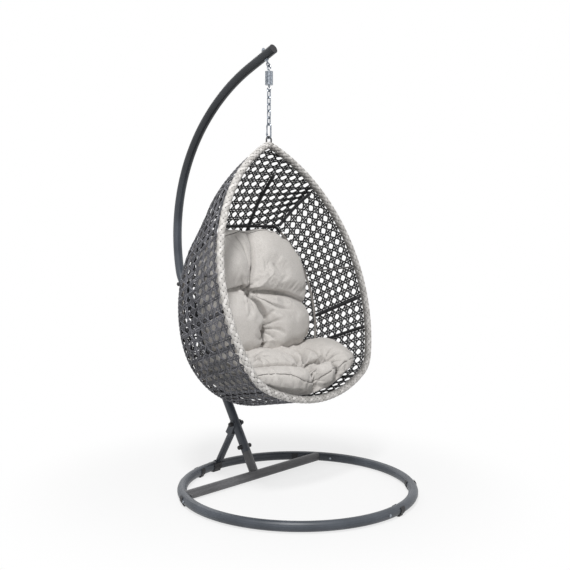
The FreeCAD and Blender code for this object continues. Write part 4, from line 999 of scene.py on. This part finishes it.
def rounded_copy(node, sewn, sunk):
    """Object with a fine, rounded mesh of a cushion's CAD solid, its plain tufts smoothed away."""
    obj = add_object(node + "_cloth", nodes[node].data.copy())
    obj.data.materials.clear()
    obj.data.materials.append(cushion_cloth)
    remesh = obj.modifiers.new("remesh", "REMESH")
    remesh.mode = "VOXEL"
    remesh.voxel_size = VOXEL
    obj.modifiers.new("rounding", "SMOOTH").iterations = ROUNDING
    mesh = applied(obj)
    points, facing = mesh_values(mesh, "co"), sewn.facing(mesh_values(mesh, "normal"))
    group = obj.vertex_groups.new(name="sunk")
    for place in sunk:
        distance = np.linalg.norm((points - place) @ sewn.flat, axis=1)
        inside = (distance < SUNK_REACH) & (facing > 0)
        group.add(np.flatnonzero(inside).tolist(), 1.0, "REPLACE")
    filled = obj.modifiers.new("filled", "SMOOTH")
    filled.vertex_group = "sunk"
    filled.iterations = FILLING
    applied(obj)
    obj.vertex_groups.clear()
    return obj


def puff(obj, held):
    """Cloth simulation with pressure inside; held is each point's hold from 0 to 1."""
    before = mesh_values(obj.data, "co")
    group = obj.vertex_groups.new(name="held")
    levels = np.round(held * HOLD_LEVELS).astype(int)
    for level in range(1, HOLD_LEVELS + 1):
        group.add(np.flatnonzero(levels == level).tolist(), level / HOLD_LEVELS, "REPLACE")
    cloth_modifier = obj.modifiers.new("puff", "CLOTH")
    settings = cloth_modifier.settings
    settings.vertex_group_mass = "held"
    settings.use_pressure = True
    settings.uniform_pressure_force = PRESSURE
    settings.shrink_min = -SPARE
    settings.quality = SIM_QUALITY
    settings.effector_weights.gravity = 0.0
    cloth_modifier.collision_settings.use_collision = False
    scene = bpy.context.scene
    for number in range(1, FRAMES + 1):
        scene.frame_set(number)
    mesh = applied(obj)
    scene.frame_set(1)
    moved = mesh_values(mesh, "co") - before
    length = np.linalg.norm(moved, axis=1, keepdims=True)
    place_points(mesh, before + moved * np.minimum(1, PUFF_CAP / np.maximum(length, 1e-9)))
    obj.vertex_groups.clear()


def seam_line(mesh, ring):
    """Where a seam goes round a cushion, found by rays from outside to points by its middle."""
    tree = mesh_tree(mesh)
    found = []
    for turn in np.linspace(0, 2 * math.pi, SEAM_POINTS, endpoint=False):
        inner, outward = (Vector(values) for values in ring(turn))
        found.append(tree.ray_cast(inner + outward * SEAM_RAY, -outward)[0])
    return np.array(found)


def cushion(node, sewn, rest_side, ring, sunk):
    """A cushion from its CAD solid, with its seam's cord as a piece of its own."""
    obj = rounded_copy(node, sewn, sunk)
    mesh = obj.data
    line = seam_line(mesh, ring)
    points, normals = mesh_values(mesh, "co"), mesh_values(mesh, "normal")
    facing = sewn.facing(normals)
    push(mesh, (PROUD - sewn.lobes(points)) * facing)
    held = np.clip(HOLD_ON_FOLD - sewn.near(points) / HELD_NEAR_FOLD, 0, 1) * (facing > 0.1)
    resting = np.clip(normals @ unit(np.array(rest_side)) * FACING_GAIN + REST_START, 0, 1)
    puff(obj, np.maximum(held, resting))
    obj.modifiers.new("finer", "SUBSURF").levels = 1
    mesh = applied(obj)
    points, normals = mesh_values(mesh, "co"), mesh_values(mesh, "normal")
    push(mesh, -sewn.creases(points) * sewn.facing(normals))
    tree = mesh_tree(mesh)
    found = [tree.find_nearest(Vector(point)) for point in np.concatenate([line, line[:1]])]
    line, seam_normals = (np.array([hit[i] for hit in found]) for i in range(2))
    distance = line_distance(mesh_values(mesh, "co"), line)[0]
    push(mesh, -SEAM_GROOVE * np.clip(1 - distance / SEAM_REACH, 0, 1) ** 2)
    mesh.shade_smooth()
    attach(obj, "basket")
    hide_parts(node)
    bundle = Bundle()
    bundle.add(line - seam_normals * SEAM_GROOVE / 2, seam_normals, 2 * SEAM_R, 2 * SEAM_R)
    bundle.build(node + "_seam", seam_cloth, "basket")
    return obj


seat_box, back_box = np.array(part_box("seat_cushion")), np.array(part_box("back_cushion"))
seat_middle, back_middle = seat_box.mean(0), back_box.mean(0)


def seat_seam(turn):
    """Point inside the seat and direction out of it; its seam rises towards the ends."""
    outward = (math.cos(turn), math.sin(turn), 0.0)
    x = seat_box[1][0] * math.cos(turn)
    height = SEAT_SEAM_Z + SEAT_SEAM_RISE * (1 - math.exp(-(x / SEAT_SEAM_HALF) ** 2))
    return (seat_middle[0], seat_middle[1], height), outward


def back_seam(turn):
    """Point inside the back and direction out of it; its seam leans back upwards as it does."""
    outward = (math.cos(turn), 0.0, math.sin(turn))
    y = back_middle[1] - BACK_SEAM_FORWARD + BACK_SEAM_LEAN * math.sin(turn) / 2
    return (0.0, y, back_middle[2]), outward


seat_sewn = Sewn(SEAT_FOLDS, (SEAT_TUFT_MID, SEAT_TUFT_RIGHT, SEAT_TUFT_LEFT), (0.0, -0.6, 0.8))
seat = cushion("seat_cushion", seat_sewn, (0.0, 0.2, -1.0), seat_seam, SEAT_SUNK)
back_sewn = Sewn(BACK_FOLDS, (BACK_TUFT_UP, BACK_TUFT_LOW), (0.0, -1.0, 0.0))
back_pad = cushion("back_cushion", back_sewn, (0.0, 1.0, 0.0), back_seam, BACK_SUNK)


# Floor, backdrop, lamps and camera
WHITE = (1.0, 1.0, 1.0, 1.0)
FLOOR_HALF = 60.0
FLOOR_BELOW = 0.0005        # under the feet
FLOOR_TONE = 0.8
FLOOR_NEAR = 0.65           # the floor turns white between these distances from the middle
FLOOR_FAR = 1.3
FLOOR_OWN = 0.25            # share of its own look that it has within the nearer one
BACKDROP_LIGHT = 0.36
MIDDLE = (0.0, 0.0, 0.9)


def seen_directly(tree):
    """1 for rays from the camera and for reflections, 0 for the rays that light the object."""
    path = tree.nodes.new("ShaderNodeLightPath")
    return calculated(tree, "MAXIMUM", (path, "Is Camera Ray"), (path, "Is Glossy Ray"))


def studio_floor():
    """The floor keeps shadows near the object, and further off it is as white as the backdrop."""
    material, tree, shader = new_material("studio_floor")
    set_values(shader, Base_Color=(FLOOR_TONE, FLOOR_TONE, FLOOR_TONE, 1.0), Roughness=0.9)
    glow = add(tree, "ShaderNodeEmission", Strength=1.0, Color=WHITE)
    distance = add(tree, "ShaderNodeVectorMath", operation="LENGTH")
    link(tree, object_place(tree), distance, 0)
    white = mapped(tree, (distance, "Value"), 1.0 - FLOOR_OWN, 1.0, FLOOR_NEAR, FLOOR_FAR)
    white[0].interpolation_type = "SMOOTHSTEP"
    mix = tree.nodes.new("ShaderNodeMixShader")
    link(tree, calculated(tree, "MULTIPLY", seen_directly(tree), white), mix, 0)
    link(tree, (shader, "BSDF"), mix, 1)
    link(tree, (glow, "Emission"), mix, 2)
    link(tree, (mix, "Shader"), tree.nodes["Material Output"], "Surface")
    return material


floor_mesh = bpy.data.meshes.new("floor")
corners = [(FLOOR_HALF * x, FLOOR_HALF * y, 0) for x, y in ((-1, -1), (1, -1), (1, 1), (-1, 1))]
floor_mesh.from_pydata(corners, [], [(0, 1, 2, 3)])
floor_mesh.materials.append(studio_floor())
floor = add_object("floor", floor_mesh)
floor.location.z = cad_box[0][2] - FLOOR_BELOW

world = bpy.data.worlds.new("studio")
bpy.context.scene.world = world
world.use_nodes = True
background = world.node_tree.nodes["Background"]
background.inputs["Color"].default_value = WHITE
backdrop = mapped(world.node_tree, seen_directly(world.node_tree), BACKDROP_LIGHT, 1.0)
link(world.node_tree, backdrop, background, "Strength")


def lamp(name, place, size, power):
    """Round lamp that shines at the object's middle."""
    data = bpy.data.lights.new(name, "AREA")
    data.shape = "DISK"
    data.size = size
    data.energy = power
    obj = add_object(name, data)
    obj.location = place
    obj.rotation_euler = (Vector(MIDDLE) - Vector(place)).to_track_quat("-Z", "Y").to_euler()


lamp("key", (-2.5, -2.0, 4.4), size=0.8, power=205.0)
lamp("fill", (2.2, -3.4, 2.4), size=2.6, power=10.0)
lamp("rim_light", (1.5, 3.2, 3.0), size=2.0, power=25.0)


def rotation(axis, degrees):
    return Matrix.Rotation(math.radians(degrees), 4, axis)


camera_data = bpy.data.cameras.new("camera")
camera_data.lens = CAMERA_LENS
camera_data.sensor_width = CAMERA_SENSOR
camera = add_object("camera", camera_data)
turned = rotation("Z", CAMERA_PAN) @ rotation("X", 90 + CAMERA_PITCH)
camera.matrix_world = Matrix.Translation(CAMERA_PLACE) @ turned @ rotation("Z", CAMERA_ROLL)
bpy.context.scene.camera = camera
bpy.context.scene.view_settings.view_transform = "Standard"
